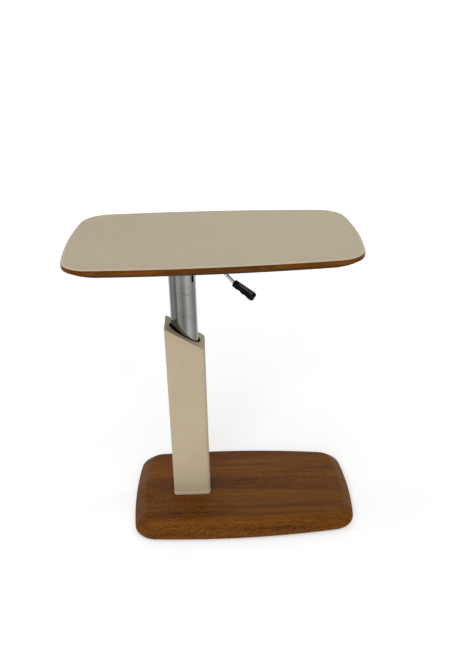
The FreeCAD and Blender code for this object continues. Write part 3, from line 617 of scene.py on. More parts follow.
def edge_wood():
    """Wood whose grain runs with u, the way round the edge."""
    made = Finish("edge_wood", Specular_IOR_Level=0.05)
    way = made.node("TexCoord", output="UV")
    slow = made.noise(made.stretched(5.0, 40.0, 1.0, way), 1.0, 2.0)
    fine = made.noise(made.stretched(22.0, 700.0, 1.0, way), 1.0, 3.0, 0.6)
    flecks = made.noise(made.stretched(90.0, 1400.0, 1.0, way), 1.0, 1.0)
    tone = slow * 0.6 + fine * 0.4
    colour = made.ramp(tone, (0.36, (0.052, 0.017, 0.0025)), (0.5, (0.122, 0.038, 0.0035)),
                       (0.64, (0.205, 0.070, 0.005)))
    patches = made.noise(made.stretched(30.0, 260.0, 1.0, way), 1.0, 2.0)
    colour = made.blend(made.between(patches, 0.56, 0.74) * 0.5, colour, (0.27, 0.115, 0.032))
    made.colour(made.blend(made.between(flecks, 0.62, 0.75) * 0.45, colour, (0.07, 0.024, 0.006)))
    made.rough(fine * 0.12 + 0.28)
    made.relief(fine, 0.05 * MM)
    return made


def closed_band(name, outline, profile):
    """Ring whose section is a closed profile, carried round the outline."""
    rows = np.array([ring(outline, inset, height) for inset, height in profile])
    rows = np.concatenate([rows, rows[:1]])
    count = len(outline[0])
    quads = grid_faces(len(rows), count, wrap=True) % (count * (len(rows) - 1))
    uv = grid_uv(len(rows), count, way_along(np.concatenate([profile, profile[:1]])), outline[2])
    return new_piece(name, rows[:-1].reshape(-1, 3), quads, uv=uv)


def make_edge():
    """Section: a 12 mm wide strip with its two outer edges rounded."""
    section = rounded_profile([(EDGE_WIDTH, TOP_HIGH - 1 * MM, 0), (EDGE_WIDTH, TOP_HIGH, 0.3 * MM),
                               (0.1 * MM, TOP_HIGH, 0.7 * MM), (0.0, TOP_HIGH - 5 * MM, 2 * MM),
                               (0.2 * MM, TOP_LOW, 0.8 * MM), (EDGE_WIDTH, TOP_LOW, 0.3 * MM),
                               (EDGE_WIDTH, TOP_LOW + 1 * MM, 0)], steps=5)
    return closed_band("edge_band", top_outline(), section)


edge_finish = edge_wood()
edge = wear(make_edge(), edge_finish)
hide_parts("edge_lipping")
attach(edge, "lift")

# %% [markdown]
# ## Underside of the tabletop
# A thin dark-veneered board closes the top from below. Its rim is upright, with a slope below
# it, and shows from the side as a dark line under the bright edge. Its corners are rounder
# than the edge's, so the dark line is gone there.

# %% Underside board
PANEL_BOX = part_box("underside_panel")
PANEL_CORNER, PANEL_SLOPE, PANEL_SLOPE_RISE = 100 * MM, 8 * MM, 2.5 * MM


def make_underside():
    """Flat above, upright at its rim, with a slope below; its corners stand back."""
    outline = top_outline(radius=PANEL_CORNER)
    high, low = PANEL_BOX[1].z, PANEL_BOX[0].z
    profile = rounded_profile([(0.05, high, 0), (0.4 * MM, high, 0.4 * MM),
                               (0.7 * MM, low + PANEL_SLOPE_RISE, 1.5 * MM),
                               (PANEL_SLOPE, low, 2.2 * MM), (DEEPEST_INSET, low, 0)], steps=5)
    rows = [ring(outline, inset, height) for inset, height in profile]
    return board("underside_board", outline, rows, way_along(profile))


underside = wear(make_underside(), under_finish)
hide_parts("underside_panel")
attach(underside, "lift")

# %% [markdown]
# ## Leather
# The top and the column are covered with smooth greige leather. Seen near, it has a fine pebble
# of small cells, faint creases and a slow change of tone, and its colour is a little darker in
# the creases, which is painted shade. The grain is a cell texture on Object coordinates, so it
# doesn't stretch anywhere.

# %% Leather finish
def leather(name, pale, mid, dark, roughness=0.56, seam=None):
    """Fine-grained leather: cells for the pebble, two noises for its tone.

    seam is the v of a sewn line: its groove is painted darker, as shade, and the roll outside it is made paler.
    """
    made = Finish(name, Specular_IOR_Level=0.2)
    pebble = {"Vector": made.place, "Scale": 780.0}
    cells = made.node("TexVoronoi", {"feature": "F1"}, pebble, output="Distance")
    folds_and_shade = made.noise(made.place, 240.0, 3.0, 0.6)
    slow = made.noise(made.place, 7.0, 3.0, 0.55)
    small = made.noise(made.place, 70.0, 2.0)
    # The folds also darken the colour where the relief sinks: painted shade in the creases.
    tone = slow * 0.25 + small * 0.2 + folds_and_shade * 0.3 + cells * 0.25
    colour = made.ramp(tone, (0.22, dark), (0.42, mid), (0.66, pale))
    if seam:
        way = made.parts(made.node("TexCoord", output="UV"))[1]
        # Painted shade: the colour is darkened along the seam's groove.
        groove_shade = 1.0 - made.between(abs(way - seam), 0.6 * MM, 1.7 * MM)
        roll = made.between(way, seam + 1.2 * MM, seam + 4 * MM)
        colour = made.blend(groove_shade * 0.45, colour, (0.20, 0.165, 0.115))
        colour = made.blend(roll * 0.35, colour, (0.62, 0.54, 0.40))
    made.colour(colour)
    made.rough(folds_and_shade * 0.2 + (roughness - 0.1))
    made.relief(folds_and_shade * 0.45 - cells * 0.5 + small * 0.3, 0.22 * MM)
    return made


top_finish = leather("top_leather", (0.494, 0.416, 0.286), (0.445, 0.371, 0.253), (0.375, 0.309, 0.206),
                     seam=40.5 * MM)
column_finish = leather("column_leather", (0.540, 0.445, 0.308), (0.487, 0.396, 0.272),
                        (0.409, 0.326, 0.217))

# %% [markdown]
# ## Leather on the tabletop
# The leather lies over the board and is turned over a cord-like hem at its rim. A sewn line runs
# about ten millimetres in. Between that line and the rim the leather stands up in a soft roll,
# and it is pulled in at each stitch, so the roll is slightly puckered. The height of
# that roll is a profile, and the pucker is a cosine round the outline with one wave to each
# stitch. A sculpted normal map could fake this, but real relief holds up from every side.

# %% Leather top
LEATHER_LOW, LEATHER_HIGH = (corner.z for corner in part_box("top_leather"))
STITCH_PITCH = 5.2 * MM
SEAM_INSET = 9.6 * MM
TOP_STITCHES = round(TOP_ROUND / STITCH_PITCH)
SAMPLES_PER_STITCH = 6
PUCKER, CREST_INSET, CREST_WIDTH = 0.16 * MM, 3.4 * MM, 3.6 * MM


def make_top_leather():
    """Rows over the seam's groove, the puckered roll and the turned-down rim.

    Each row's height is the profile's height, less the pucker: a cosine of the way round,
    strongest on the roll's crest and gone at the seam's far side and under the rim.
    """
    outline = top_outline(TOP_STITCHES * SAMPLES_PER_STITCH)
    high = LEATHER_HIGH
    profile = np.array([
        (0.050, high - 0.35 * MM), (16 * MM, high - 0.35 * MM), (12.4 * MM, high - 0.35 * MM),
        (11.2 * MM, high - 0.45 * MM), (10.4 * MM, high - 0.80 * MM), (9.7 * MM, high - 1.05 * MM),
        (9.0 * MM, high - 0.75 * MM), (8.2 * MM, high - 0.20 * MM), (7.0 * MM, high + 0.20 * MM),
        (5.4 * MM, high + 0.34 * MM), (3.8 * MM, high + 0.26 * MM), (2.4 * MM, high - 0.05 * MM),
        (1.7 * MM, high - 0.25 * MM), (1.1 * MM, high - 0.55 * MM), (0.75 * MM, high - 0.95 * MM),
        (0.7 * MM, high - 1.35 * MM), (0.8 * MM, high - 1.7 * MM), (1.2 * MM, high - 1.9 * MM),
        (2.2 * MM, LEATHER_LOW), (14 * MM, LEATHER_LOW)])
    wave = np.cos(2 * math.pi * np.arange(len(outline[0])) / SAMPLES_PER_STITCH)
    crest = np.exp(-((profile[:, 0] - CREST_INSET) / CREST_WIDTH) ** 2)
    crest[:3], crest[-2:] = 0, 0
    rows = []
    for (inset, height), share in zip(profile, crest):
        pull = PUCKER * share * (0.5 - 0.5 * wave)
        rows.append(ring(outline, inset + pull * 0.8, height - pull))
    return board("leather_top", outline, rows, way_along(profile))


leather_top = make_top_leather()
wear(leather_top, top_finish)
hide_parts("top_leather")
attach(leather_top, "lift")
print(TOP_STITCHES, "stitches round the top")

# %% [markdown]
# ## Stitches
# Each stitch is a short thick thread that dips into the leather at both ends. All the stitches
# of one row are one mesh: one small capsule of six sides is worked out once, and then turned
# and moved to every place by array maths, which is light even for hundreds of them.

# %% Rows of stitches
def capsule(length, radius, sides=6):
    """Thread along X: rings of growing and shrinking radius, bowed down at both ends."""
    x = np.array([-0.5, -0.42, -0.2, 0.2, 0.42, 0.5]) * length
    r = np.array([0.35, 0.8, 1.0, 1.0, 0.8, 0.35]) * radius
    sag = -np.array([1.0, 0.45, 0.0, 0.0, 0.45, 1.0]) * radius * 0.9
    turn = 2 * math.pi * np.arange(sides) / sides
    points = np.stack([np.repeat(x, sides), np.outer(r, np.cos(turn)).ravel(),
                       np.outer(r, np.sin(turn)).ravel() + np.repeat(sag, sides)], axis=1)
    quads = grid_faces(len(x), sides, wrap=True)[:, ::-1]
    fans = pole_fans(sides, len(points) - sides)[:, ::-1]
    ends = [points[:sides].mean(axis=0), points[-sides:].mean(axis=0)]
    return np.concatenate([points, ends]), quads, fans


def stitch_row(name, places, along, out, length, radius):
    """Copies of a capsule at places, each lying along its own direction, with out upwards."""
    shape, quads, fans = capsule(length, radius)
    side = np.cross(out, along)
    frames = np.stack([along, side, out], axis=1)
    points = np.einsum("pk,nkj->npj", shape, frames) + places[:, None, :]
    step = (np.arange(len(places)) * len(shape))[:, None, None]
    return new_piece(name, points.reshape(-1, 3), (quads[None] + step).reshape(-1, 4),
                     (fans[None] + step).reshape(-1, 3))


def thread_finish(name, pale, dark):
    """Waxed thread: fine twist lines across noise."""
    made = Finish(name, Roughness=0.6, Sheen_Weight=0.1)
    twist = made.noise(made.place, 900.0, 2.0)
    made.colour(made.ramp(twist, (0.35, dark), (0.62, pale)))
    made.relief(twist, 0.1 * MM)
    return made


pale_thread = thread_finish("pale_thread", (0.80, 0.73, 0.58), (0.66, 0.58, 0.44))
foot_thread = thread_finish("foot_thread", (0.95, 0.92, 0.84), (0.85, 0.80, 0.70))


def make_top_stitches():
    """One stitch in the middle of each wave of the pucker, on the seam's line."""
    points, normals, _ = top_outline(TOP_STITCHES)
    places = np.hstack([points - normals * SEAM_INSET, np.full((len(points), 1), LEATHER_HIGH - 0.72 * MM)])
    out = np.tile([0.0, 0.0, 1.0], (len(places), 1))
    along = np.stack([-normals[:, 1], normals[:, 0], np.zeros(len(normals))], axis=1)
    return stitch_row("top_stitches", places, along, out, 3.7 * MM, 0.5 * MM)


top_stitches = wear(make_top_stitches(), pale_thread)
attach(top_stitches, "lift")

# %% [markdown]
# ## Leather round the column
# One wrap of leather goes round the four boards, closes in a seam down the back, folds over
# the slanted edge, covers the slanted face and turns down into the oval hole. Its rows are
# rounded rectangles on the walls. On the slanted face they change, step by step, from the rounded
# rectangle to the oval. Heights are first worked out as if the top were level, and then
# the slant is added, which keeps the fold even all round.

# %% Shapes round the column
COLUMN_LOW, COLUMN_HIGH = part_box("column_leather")
COLUMN_MIDDLE = np.array([(COLUMN_LOW.x + COLUMN_HIGH.x) / 2, 0.0])
COLUMN_HALF = np.array([(COLUMN_HIGH.x - COLUMN_LOW.x) / 2, COLUMN_HIGH.y])
SLANT_LEFT = COLUMN_HIGH.z + 1.5 * MM
SLANT_RIGHT = COLUMN_HIGH.z - 62 * MM
HOLE_HALF = np.array([39.0, 27.0]) * MM
HOLE_END_RADIUS = 25 * MM
COLUMN_CORNER = 8 * MM
CORNER_STEPS, OVAL_STEPS = 24, 200


def rounded_rectangle(half, radius, count):
    """Points and normals round a rectangle, starting at the middle of its back.

    The outline is divided evenly by length; corners are quarter circles.
    """
    inner = half - radius
    turn = np.linspace(0, math.pi / 2, CORNER_STEPS)
    points, normals = [], []
    for quarter, (sx, sy) in enumerate(((1, 1), (-1, 1), (-1, -1), (1, -1))):
        angle = turn + quarter * math.pi / 2
        normal = np.stack([np.cos(angle), np.sin(angle)], axis=1)
        points.append(inner * (sx, sy) + radius * normal)
        normals.append(normal)
    points, normals = np.concatenate(points), np.concatenate(normals)
    start, back = CORNER_STEPS, [(0, half[1])]
    points = np.concatenate([back, points[start:], points[:start], back])
    normals = np.concatenate([[(0, 1)], normals[start:], normals[:start], [(0, 1)]])
    way = way_along(points)
    steps = np.linspace(0, way[-1], count + 1)[:-1]
    even = np.stack([np.interp(steps, way, points[:, k]) for k in (0, 1)], axis=1)
    facing = np.stack([np.interp(steps, way, normals[:, k]) for k in (0, 1)], axis=1)
    return even, facing / np.linalg.norm(facing, axis=1, keepdims=True), np.append(steps, way[-1])


def oval_points(half, end_radius, rays):
    """Points of the tube's oval on given rays from its middle: two small ends, two long sides.

    Each ray's length is found where it meets a fine drawing of the four arcs.
    """
    a, b = half[0] - end_radius, half[1]
    side_radius = (a * a + b * b - end_radius ** 2) / (2 * (b - end_radius))
    lean = math.atan2(a, side_radius - b)
    end_turn = np.linspace(-(math.pi / 2 - lean), math.pi / 2 - lean, OVAL_STEPS)
    side_turn = np.linspace(math.pi / 2 - lean, math.pi / 2 + lean, OVAL_STEPS)
    end = np.stack([a + end_radius * np.cos(end_turn), end_radius * np.sin(end_turn)], axis=1)
    side = side_radius * np.stack([np.cos(side_turn), np.sin(side_turn)], axis=1)
    side[:, 1] += b - side_radius
    drawn = np.concatenate([end, side, -end, -side])
    angle = np.arctan2(drawn[:, 1], drawn[:, 0])
    order = np.argsort(angle)
    reach = np.interp(np.arctan2(rays[:, 1], rays[:, 0]), angle[order],
                      np.linalg.norm(drawn, axis=1)[order], period=2 * math.pi)
    return rays / np.linalg.norm(rays, axis=1, keepdims=True) * reach[:, None]


def slant(x):
    """Height of the slanted top at x."""
    share = (x - COLUMN_LOW.x) / (COLUMN_HIGH.x - COLUMN_LOW.x)
    return SLANT_LEFT + (SLANT_RIGHT - SLANT_LEFT) * share


# %% The wrap
LEATHER_THICKNESS = 1.4 * MM
HEM_HEIGHT = 9.0 * MM
FOLD = 2.8 * MM             # where the slanted face starts, inside the wall
RIM = 1.5 * MM              # round the hole, where the leather starts to turn down
WRAP_POINTS = 360
# Each pair is how far out of the wall, and the height from the foot or from the slanted edge.
FOOT_HEM = ((-1.1, 0.15), (-0.45, 0.2), (0.0, 0.75), (0.22, 1.8), (0.24, 5.0), (0.18, 8.0),
            (-0.12, 9.0), (-0.02, 10.2), (0.0, 12.5))
SLANT_HEM = ((0.0, -12.0), (-0.02, -11.0), (-0.14, -10.0), (0.0, -9.0), (0.12, -7.5), (0.12, -4.5),
             (0.05, -2.6), (-0.05, -1.5), (-0.35, -0.7), (-0.85, -0.2), (-1.6, 0.0))
# Each pair is the share of the way, and the height above the slant.
FACE = ((0.0, 0.0), (0.16, -0.2), (0.4, -0.3), (0.7, -0.1), (1.0, 0.25))
TURN_DOWN = ((0.55, 0.15), (0.25, -0.2), (0.07, -0.7), (0.0, -1.3), (0.0, -1.8))


def make_wrap():
    """Rows: turned-in foot, hem, wall, fold, slanted face, rim of the hole, inside of the hole."""
    count = WRAP_POINTS
    corners, normals, way = rounded_rectangle(COLUMN_HALF, COLUMN_CORNER, count)
    seam = np.exp(-(np.minimum(way[:-1], way[-1] - way[:-1]) / (1.0 * MM)) ** 2)

    def on_wall(out, height, along_slant):
        """Row out of the wall by out, sunk at the seam; its height is from the foot or the slant."""
        spots = corners + normals * (out * MM - 0.5 * MM * seam)[:, None] + COLUMN_MIDDLE
        from_foot = np.full(count, COLUMN_LOW.z)
        z = (slant(spots[:, 0]) if along_slant else from_foot) + height * MM
        return np.hstack([spots, z[:, None]])

    def on_slant(start, end, share, height):
        """Row on the slanted face, a share of the way from one line to another."""
        spots = start + (end - start) * share + COLUMN_MIDDLE
        return np.hstack([spots, (slant(spots[:, 0]) + height * MM)[:, None]])

    hole = oval_points(HOLE_HALF, HOLE_END_RADIUS, corners)
    outer = corners - normals * FOLD
    rim = hole + corners / np.linalg.norm(corners, axis=1, keepdims=True) * RIM
    rows = [on_wall(out, height, False) for out, height in FOOT_HEM]
    foot, head = rows[-1], on_wall(0.0, -14.0, True)
    rows += [foot + (head - foot) * share for share in np.linspace(0.0, 1.0, 12)[1:]]
    rows += [on_wall(out, height, True) for out, height in SLANT_HEM]
    rows += [on_slant(outer, rim, share, height) for share, height in FACE]
    rows += [on_slant(hole, rim, share, height) for share, height in TURN_DOWN]
    rows = np.array(rows)
    v = way_along(rows[:, count // 2])
    quads = grid_faces(len(rows), count, wrap=True)[:, ::-1]
    uv = grid_uv(len(rows), count, v, way).reshape(-1, 4, 2)[:, ::-1].reshape(-1, 2)
    return new_piece("column_wrap", rows.reshape(-1, 3), quads, uv=uv)


wrap = make_wrap()
wear(wrap, column_finish)
thickness = wrap.modifiers.new("thickness", "SOLIDIFY")
thickness.thickness = LEATHER_THICKNESS
thickness.offset = -1
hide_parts("column_leather", "collar_leather")
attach(wrap, "base")

# %% [markdown]
# The wrap is sewn along its foot hem, below the slanted edge, and in two lines beside the seam
# at the back. These stitches lie on the wall, so each one's outward direction is the wall's.

# %% Stitches of the column
SEAM_SIDE = 3.5 * MM


def wall_row(name, height, along_slant, pitch, length, radius):
    """Stitches round the column at one height above the foot, or below the slanted edge."""
    whole = rounded_rectangle(COLUMN_HALF, COLUMN_CORNER, WRAP_POINTS)[2][-1]
    corners, normals, _ = rounded_rectangle(COLUMN_HALF, COLUMN_CORNER, round(whole / pitch))
    spots = corners + COLUMN_MIDDLE - normals * 0.02 * MM
    z = slant(spots[:, 0]) + height if along_slant else np.full(len(spots), COLUMN_LOW.z + height)
    places = np.hstack([spots, z[:, None]])
    along = np.roll(places, -1, axis=0) - np.roll(places, 1, axis=0)
    along /= np.linalg.norm(along, axis=1, keepdims=True)
    out = np.hstack([normals, np.zeros((len(normals), 1))])
    out -= along * (out * along).sum(axis=1, keepdims=True)
    out /= np.linalg.norm(out, axis=1, keepdims=True)
    return stitch_row(name, places, along, out, length, radius)


def seam_rows(name, pitch):
    """Two upright lines of stitches beside the seam in the middle of the back."""
    z = np.arange(COLUMN_LOW.z + 16 * MM, slant(COLUMN_MIDDLE[0]) - 18 * MM, pitch)
    back = np.full(len(z), COLUMN_HALF[1])
    places = np.concatenate([np.stack([np.full(len(z), COLUMN_MIDDLE[0] + side), back, z], axis=1)
                             for side in (-SEAM_SIDE, SEAM_SIDE)])
    along = np.tile([0.0, 0.0, 1.0], (len(places), 1))
    out = np.tile([0.0, 1.0, 0.0], (len(places), 1))
    return stitch_row(name, places, along, out, 3.6 * MM, 0.4 * MM)


dull_thread = thread_finish("dull_thread", (0.26, 0.19, 0.11), (0.17, 0.12, 0.07))
column_stitches = (
    (wall_row("foot_stitches", HEM_HEIGHT, False, 6.4 * MM, 4.4 * MM, 0.8 * MM), foot_thread),
    (wall_row("slant_stitches", -10.0 * MM, True, 6.0 * MM, 3.6 * MM, 0.6 * MM), dull_thread),
    (seam_rows("seam_stitches", 5.3 * MM), pale_thread),
)
for row, thread in column_stitches:
    wear(row, thread)
    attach(row, "base")

# %% [markdown]
# ## Grip of the lever
# A black moulded grip is pushed over the lever's rod. It grows wider towards its round end,
# has a flat face with fine ribs above, for the fingertips, and two hollows for the fingers
# below. Its section is a rounded rectangle in the form of a superellipse, carried along
# the grip with a width, a top and a bottom that change on the way.

# %% Grip
LEVER = next(j for j in frame["joints"] if j["name"] == "lever_pull")
LEVER_DROP, GRIP_SLOPE = math.radians(41.5), math.radians(29.5)
LEVEL_WAY, DROP_WAY = (90 - 14) * MM, 69 * MM       # of the rod, from the pivot to its bend and on
GRIP_LENGTH, GRIP_HALF_THICK = 62 * MM, 7.5 * MM
GRIP_ROOT_HALF_WIDE, GRIP_SPREAD = 6.0 * MM, 5.5 * MM
GRIP_TIP, GRIP_ROUNDING = 15.0 * MM, 2.2 * MM
FINGER_HOLLOWS, HOLLOW_DEPTH, HOLLOW_ROUND = (22 * MM, 41 * MM), 1.7 * MM, 28 * MM
RIB_PITCH, RIB_HEIGHT, RIB_SINK = 2.4 * MM, 0.35 * MM, 0.2 * MM
GRIP_SIDES, GRIP_POWER = 72, 4.2


def lever_place():
    """Root, direction along, direction across and upward direction of the grip, from the joint."""
    axis = Vector(LEVER["axis"]).normalized()
    outwards = Vector((0, 0, 1)).cross(axis)
    pivot = Vector(LEVER["pos_m"])
    down = Vector((0, 0, -1))
    root = pivot + outwards * (LEVEL_WAY + DROP_WAY * math.cos(LEVER_DROP))
    root += down * DROP_WAY * math.sin(LEVER_DROP)
    along = outwards * math.cos(GRIP_SLOPE) + down * math.sin(GRIP_SLOPE)
    return root, along, axis, axis.cross(along)


def make_grip():
    """Superellipse sections: |y / width|^p + |z / height|^p = 1, with p near 4 for squarish sides."""
    root, along, across, up = (np.array(v) for v in lever_place())
    if up[2] < 0:
        across, up = -across, -up
    u = np.concatenate([[0.0], np.linspace(0.004, 0.985, 220), 1 - 0.015 * np.linspace(0.8, 0.0, 7) ** 1.5])
    x = u * GRIP_LENGTH
    from_end = GRIP_LENGTH - x
    half_wide = GRIP_ROOT_HALF_WIDE + GRIP_SPREAD * u
    inside = np.clip(1 - from_end / GRIP_TIP, 0, 1)
    half_wide = half_wide * np.sqrt(np.clip(1 - inside ** 2.4, 0, 1))
    ends = np.clip(np.minimum(x, from_end) / GRIP_ROUNDING, 0, 1)
    soften = np.sqrt(np.clip(1 - (1 - ends) ** 2, 0, 1)) * 0.35 + 0.65
    soften[0] = 0.6
    top = GRIP_HALF_THICK * soften
    hollow = sum(np.maximum(0, HOLLOW_DEPTH - (x - middle) ** 2 / HOLLOW_ROUND) for middle in FINGER_HOLLOWS)
    bottom = (GRIP_HALF_THICK + (1.6 + 1.4 * u) * MM) * soften - hollow
    turn = 2 * math.pi * np.arange(GRIP_SIDES) / GRIP_SIDES
    cos, sin = np.cos(turn), np.sin(turn)
    power = 2 / GRIP_POWER
    y = np.outer(half_wide * (0.9 + 0.1 * soften), np.sign(cos) * np.abs(cos) ** power)
    shape_z = np.sign(sin) * np.abs(sin) ** power
    z = np.where(shape_z > 0, np.outer(top, shape_z), np.outer(bottom, shape_z))
    on_top = np.clip((shape_z - 0.8) / 0.15, 0, 1) * np.clip((0.82 - np.abs(cos)) / 0.1, 0, 1)
    zone = np.clip((x - 12 * MM) / (2 * MM), 0, 1) * np.clip((from_end - 7 * MM) / (2 * MM), 0, 1)
    ribs = RIB_HEIGHT * (0.5 + 0.5 * np.sin(2 * math.pi * x / RIB_PITCH)) * zone
    z = z + np.outer(ribs - RIB_SINK * zone, on_top)
    points = root + x[:, None, None] * along + y[..., None] * across + z[..., None] * up
    quads = grid_faces(len(x), GRIP_SIDES, wrap=True)
    fans = pole_fans(GRIP_SIDES, (len(x) - 1) * GRIP_SIDES)
    flat_points = points.reshape(-1, 3)
    poles = np.array([points[0].mean(axis=0), points[-1].mean(axis=0) + along * 0.1 * MM])
    if np.dot(np.cross(across, up), along) > 0:
        quads, fans = quads[:, ::-1], fans[:, ::-1]
    ribbed = np.outer(zone, on_top).ravel()[quads].min(axis=1) > 0.3
    return new_piece("grip", np.concatenate([flat_points, poles]), quads, fans), ribbed


def moulded(name, pale, dark, roughness, grain, shine=0.5):
    """Black plastic with a fine spark-eroded skin."""
    made = Finish(name, Specular_IOR_Level=shine)
    skin = made.noise(made.place, grain, 2.0, 0.6)
    smears = made.noise(made.place, 60.0, 2.0)
    made.colour(made.ramp(skin * 0.5 + smears * 0.5, (0.35, dark), (0.65, pale)))
    made.rough(smears * 0.2 + (roughness - 0.1))
    made.relief(skin, 0.06 * MM)
    return made


grip_finish = moulded("grip_plastic", (0.004, 0.004, 0.0045), (0.002, 0.002, 0.002), 0.30, 1500.0,
                      shine=0.1)
# The ribbed face above is painted pale grey: a painted highlight where the face looks up to the light.
face_highlight_finish = moulded("grip_face_highlight", (0.150, 0.147, 0.142), (0.085, 0.083, 0.081), 0.6, 900.0, shine=0.4)
grip, ribbed_faces = make_grip()
wear(grip, grip_finish)
# The ribbed faces take the painted highlight.
grip.data.materials.append(face_highlight_finish.material)
face_slots = np.zeros(len(grip.data.polygons), np.int32)
face_slots[:len(ribbed_faces)] = ribbed_faces
grip.data.polygons.foreach_set("material_index", face_slots)
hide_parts("lever_paddle")
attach(grip, "lever")

# %% [markdown]
# ## Metals
# The tube is chromed and worn: it has fine lines from sliding, a few dull smears, and one
# slanting scratch. Its upright bands are partly wear from sliding and partly a painted reflection
# of dark stripes. The lever is drawn steel, the plate under the top is painted black, and the
# screws are zinc-plated. Each is one noise or more, stretched the way the part was worked.

# %% Metal finishes
def metal(name, pale, dark, roughness, stretch, wear_share=0.1, metallic=1.0, depth=0.02):
    """Metal whose brightness and gloss change along scratches stretched by (x, y, z)."""
    made = Finish(name, Metallic=metallic)
    lines = made.noise(made.stretched(*stretch), 1.0, 3.0, 0.6)
    smears = made.noise(made.place, 22.0, 3.0, 0.6)
    made.colour(made.ramp(lines * 0.45 + smears * 0.55, (0.3, dark), (0.65, pale)))
    made.rough(made.between(smears, 0.35, 0.75) * wear_share + lines * 0.06 + (roughness - 0.03))
    made.relief(lines, depth * MM)
    return made


SCRATCH_SLOPE, SCRATCH_HEIGHT = 0.55, 0.592     # the scratch is the line z + slope * x = height


def tube_chrome():
    """Worn chrome: fine lines from sliding, one slanting scratch, and upright bands that are partly wear and
    partly a painted reflection.
    """
    made = Finish("tube_chrome", Metallic=1.0)
    # The upright bands change the colour: partly wear from sliding, partly a painted reflection of dark stripes.
    bands = made.noise(made.stretched(190.0, 190.0, 1.6), 1.0, 2.0, 0.7)
    lines = made.noise(made.stretched(900.0, 900.0, 7.0), 1.0, 3.0, 0.6)
    smears = made.noise(made.place, 22.0, 3.0, 0.6)
    x, _, height = made.parts(made.place)
    away = abs(height + x * SCRATCH_SLOPE - SCRATCH_HEIGHT)
    scratch = (1.0 - made.between(away, 0.3 * MM, 0.9 * MM)) * made.between(x, -94 * MM, -88 * MM)
    scratch = scratch * (1.0 - made.between(x, -76 * MM, -70 * MM))
    tone = bands * 0.22 + lines * 0.13 + smears * 0.65 - scratch * 0.5
    made.colour(made.ramp(tone, (0.25, (0.09, 0.09, 0.085)), (0.40, (0.30, 0.303, 0.286)),
                          (0.62, (0.36, 0.365, 0.345))))
    made.rough(smears * 0.10 + bands * 0.04 + 0.07)
    made.relief(lines - scratch, 0.02 * MM)
    return made


chrome_finish = tube_chrome()
bright_finish = metal("bright_steel", (0.46, 0.49, 0.52), (0.30, 0.33, 0.35), 0.36, (400.0,) * 3)
zinc_finish = metal("zinc_steel", (0.55, 0.55, 0.52), (0.40, 0.40, 0.39), 0.35, (600.0,) * 3)
cast_finish = metal("cast_aluminium", (0.50,) * 3, (0.38,) * 3, 0.5, (300.0,) * 3, depth=0.1)
iron_finish = metal("ballast_iron", (0.07, 0.068, 0.066), (0.035, 0.034, 0.033), 0.6, (40.0, 220.0, 220.0),
                    metallic=0.4, depth=0.1)
black_finish = metal("black_paint", (0.040, 0.040, 0.041), (0.022, 0.022, 0.023), 0.42, (900.0,) * 3,
                     metallic=0.0, depth=0.08)
guide_finish = moulded("guide_plastic", (0.028, 0.028, 0.028), (0.016, 0.016, 0.016), 0.55, 700.0)
glide_finish = moulded("glide_plastic", (0.050, 0.049, 0.047), (0.030, 0.029, 0.028), 0.6, 600.0)

# %% [markdown]
# ## Finishes of the CAD parts
# The parts whose CAD shape is right stay as they are. Each takes the finish of the record's
# slot that its node names, so the table of slots below is the whole list.

# %% Finishes by slot
BY_SLOT = {
    "top_leather": top_finish, "column_leather": column_finish, "edge_wood": edge_finish,
    "underside_wood": under_finish, "base_wood": base_finish, "board": board_finish,
    "black_board": collar_shade_finish,
    "chrome": chrome_finish, "bright_steel": bright_finish, "zinc_steel": zinc_finish,
    "ballast_steel": iron_finish, "black_steel": black_finish, "cast_aluminium": cast_finish,
    "guide_plastic": guide_finish, "glide_plastic": glide_finish, "grip_plastic": grip_finish,
}
finished = 0
for subpart in frame["record"]["subparts"]:
    node = frame["nodes"].get(subpart.get("node"))
    if node is not None:
        wear(node, BY_SLOT[subpart["material_slot"]])
        finished += 1
print(finished, "CAD nodes have their finish")

# %% [markdown]
# ## Floor
# A pale floor that curves up into a backdrop has no horizon line. It is one strip: flat near
# the table, then a quarter circle, then upright. It is pale and even up to 0.8 m from the
# table's middle. Further out it is shaded in some directions, which the chrome shows as dark
# upright lines. The direction is an angle round the table, from an arc tangent of X and Y.

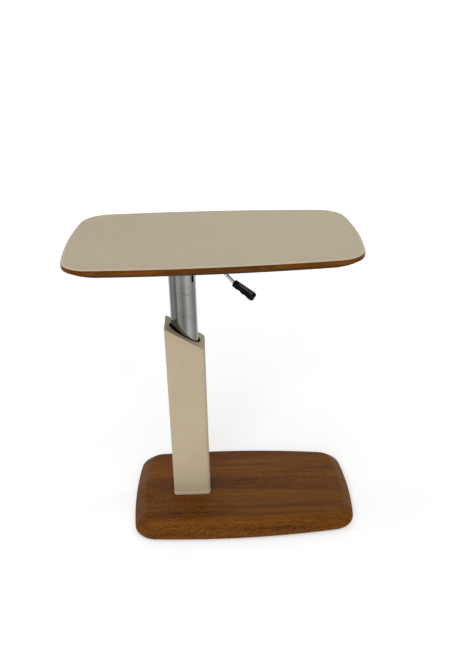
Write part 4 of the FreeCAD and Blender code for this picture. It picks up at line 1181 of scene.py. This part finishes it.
# %% Floor
def make_floor():
    """Strip carried along X: its profile runs level, through a quarter circle, and up."""
    turn = np.linspace(-math.pi / 2, 0, 24)
    bend = np.stack([4.0 + 1.5 * np.cos(turn), 1.5 + 1.5 * np.sin(turn)], axis=1)
    profile = np.concatenate([[(-6.0, 0.0)], [(0.0, 0.0)], bend, [(5.5, 6.0)]])
    x = np.array([-7.0, 7.0])
    points = np.array([[(px, y, z) for px in x] for y, z in profile]).reshape(-1, 3)
    return new_piece("floor", points, grid_faces(len(profile), 2, wrap=False)[:, ::-1])


# Direction in degrees, with 0 to the front and 90 to the right, and how dark the floor is there.
FLOOR_BANDS = ((-110, 0.0), (-92, 0.75), (-78, 0.65), (-66, 0.65), (-56, 0.95), (-46, 0.95), (-40, 0.45),
               (-32, 0.60), (-14, 0.75), (-4, 0.85), (10, 0.70), (24, 0.20), (34, 0.0), (46, 0.10),
               (60, 0.42), (84, 0.72), (94, 0.5), (104, 0.0))
BANDS_START, BANDS_FULL = 0.80, 0.92


def floor_paint():
    """Pale floor, darker in some directions beyond 0.8 m, with a faint glow that grows outwards."""
    made = Finish("floor", Roughness=0.9, Specular_IOR_Level=0.2)
    tone = made.noise(made.place, 3.0, 2.0)
    x, y, _ = made.parts(made.place)
    turn = made.node("Math", {"operation": "ARCTAN2"}, {0: x + 0.10, 1: y * -1.0}) / (2 * math.pi) + 0.5
    reach = made.node("VectorMath", {"operation": "LENGTH"}, {0: made.place}, output="Value")
    bands = made.ramp(turn, *((degrees / 360 + 0.5, (shade,) * 3) for degrees, shade in FLOOR_BANDS))
    shade = made.between(reach, BANDS_START, BANDS_FULL) * bands
    made.colour(made.ramp(tone * 0.1 + shade * 0.9, (0.0, (0.88,) * 3), (1.0, (0.15,) * 3)))
    glow = (made.between(reach, 0.7, 4.0) * 0.30 + 0.30) * (1.0 - shade * 0.9)
    made.feed(made.shader.inputs["Emission Color"], made.ramp(glow, (0.0, (0.0,) * 3), (1.0, (1.0,) * 3)))
    made.shader.inputs["Emission Strength"].default_value = 1.0
    return made


floor_finish = floor_paint()
floor = wear(make_floor(), floor_finish)
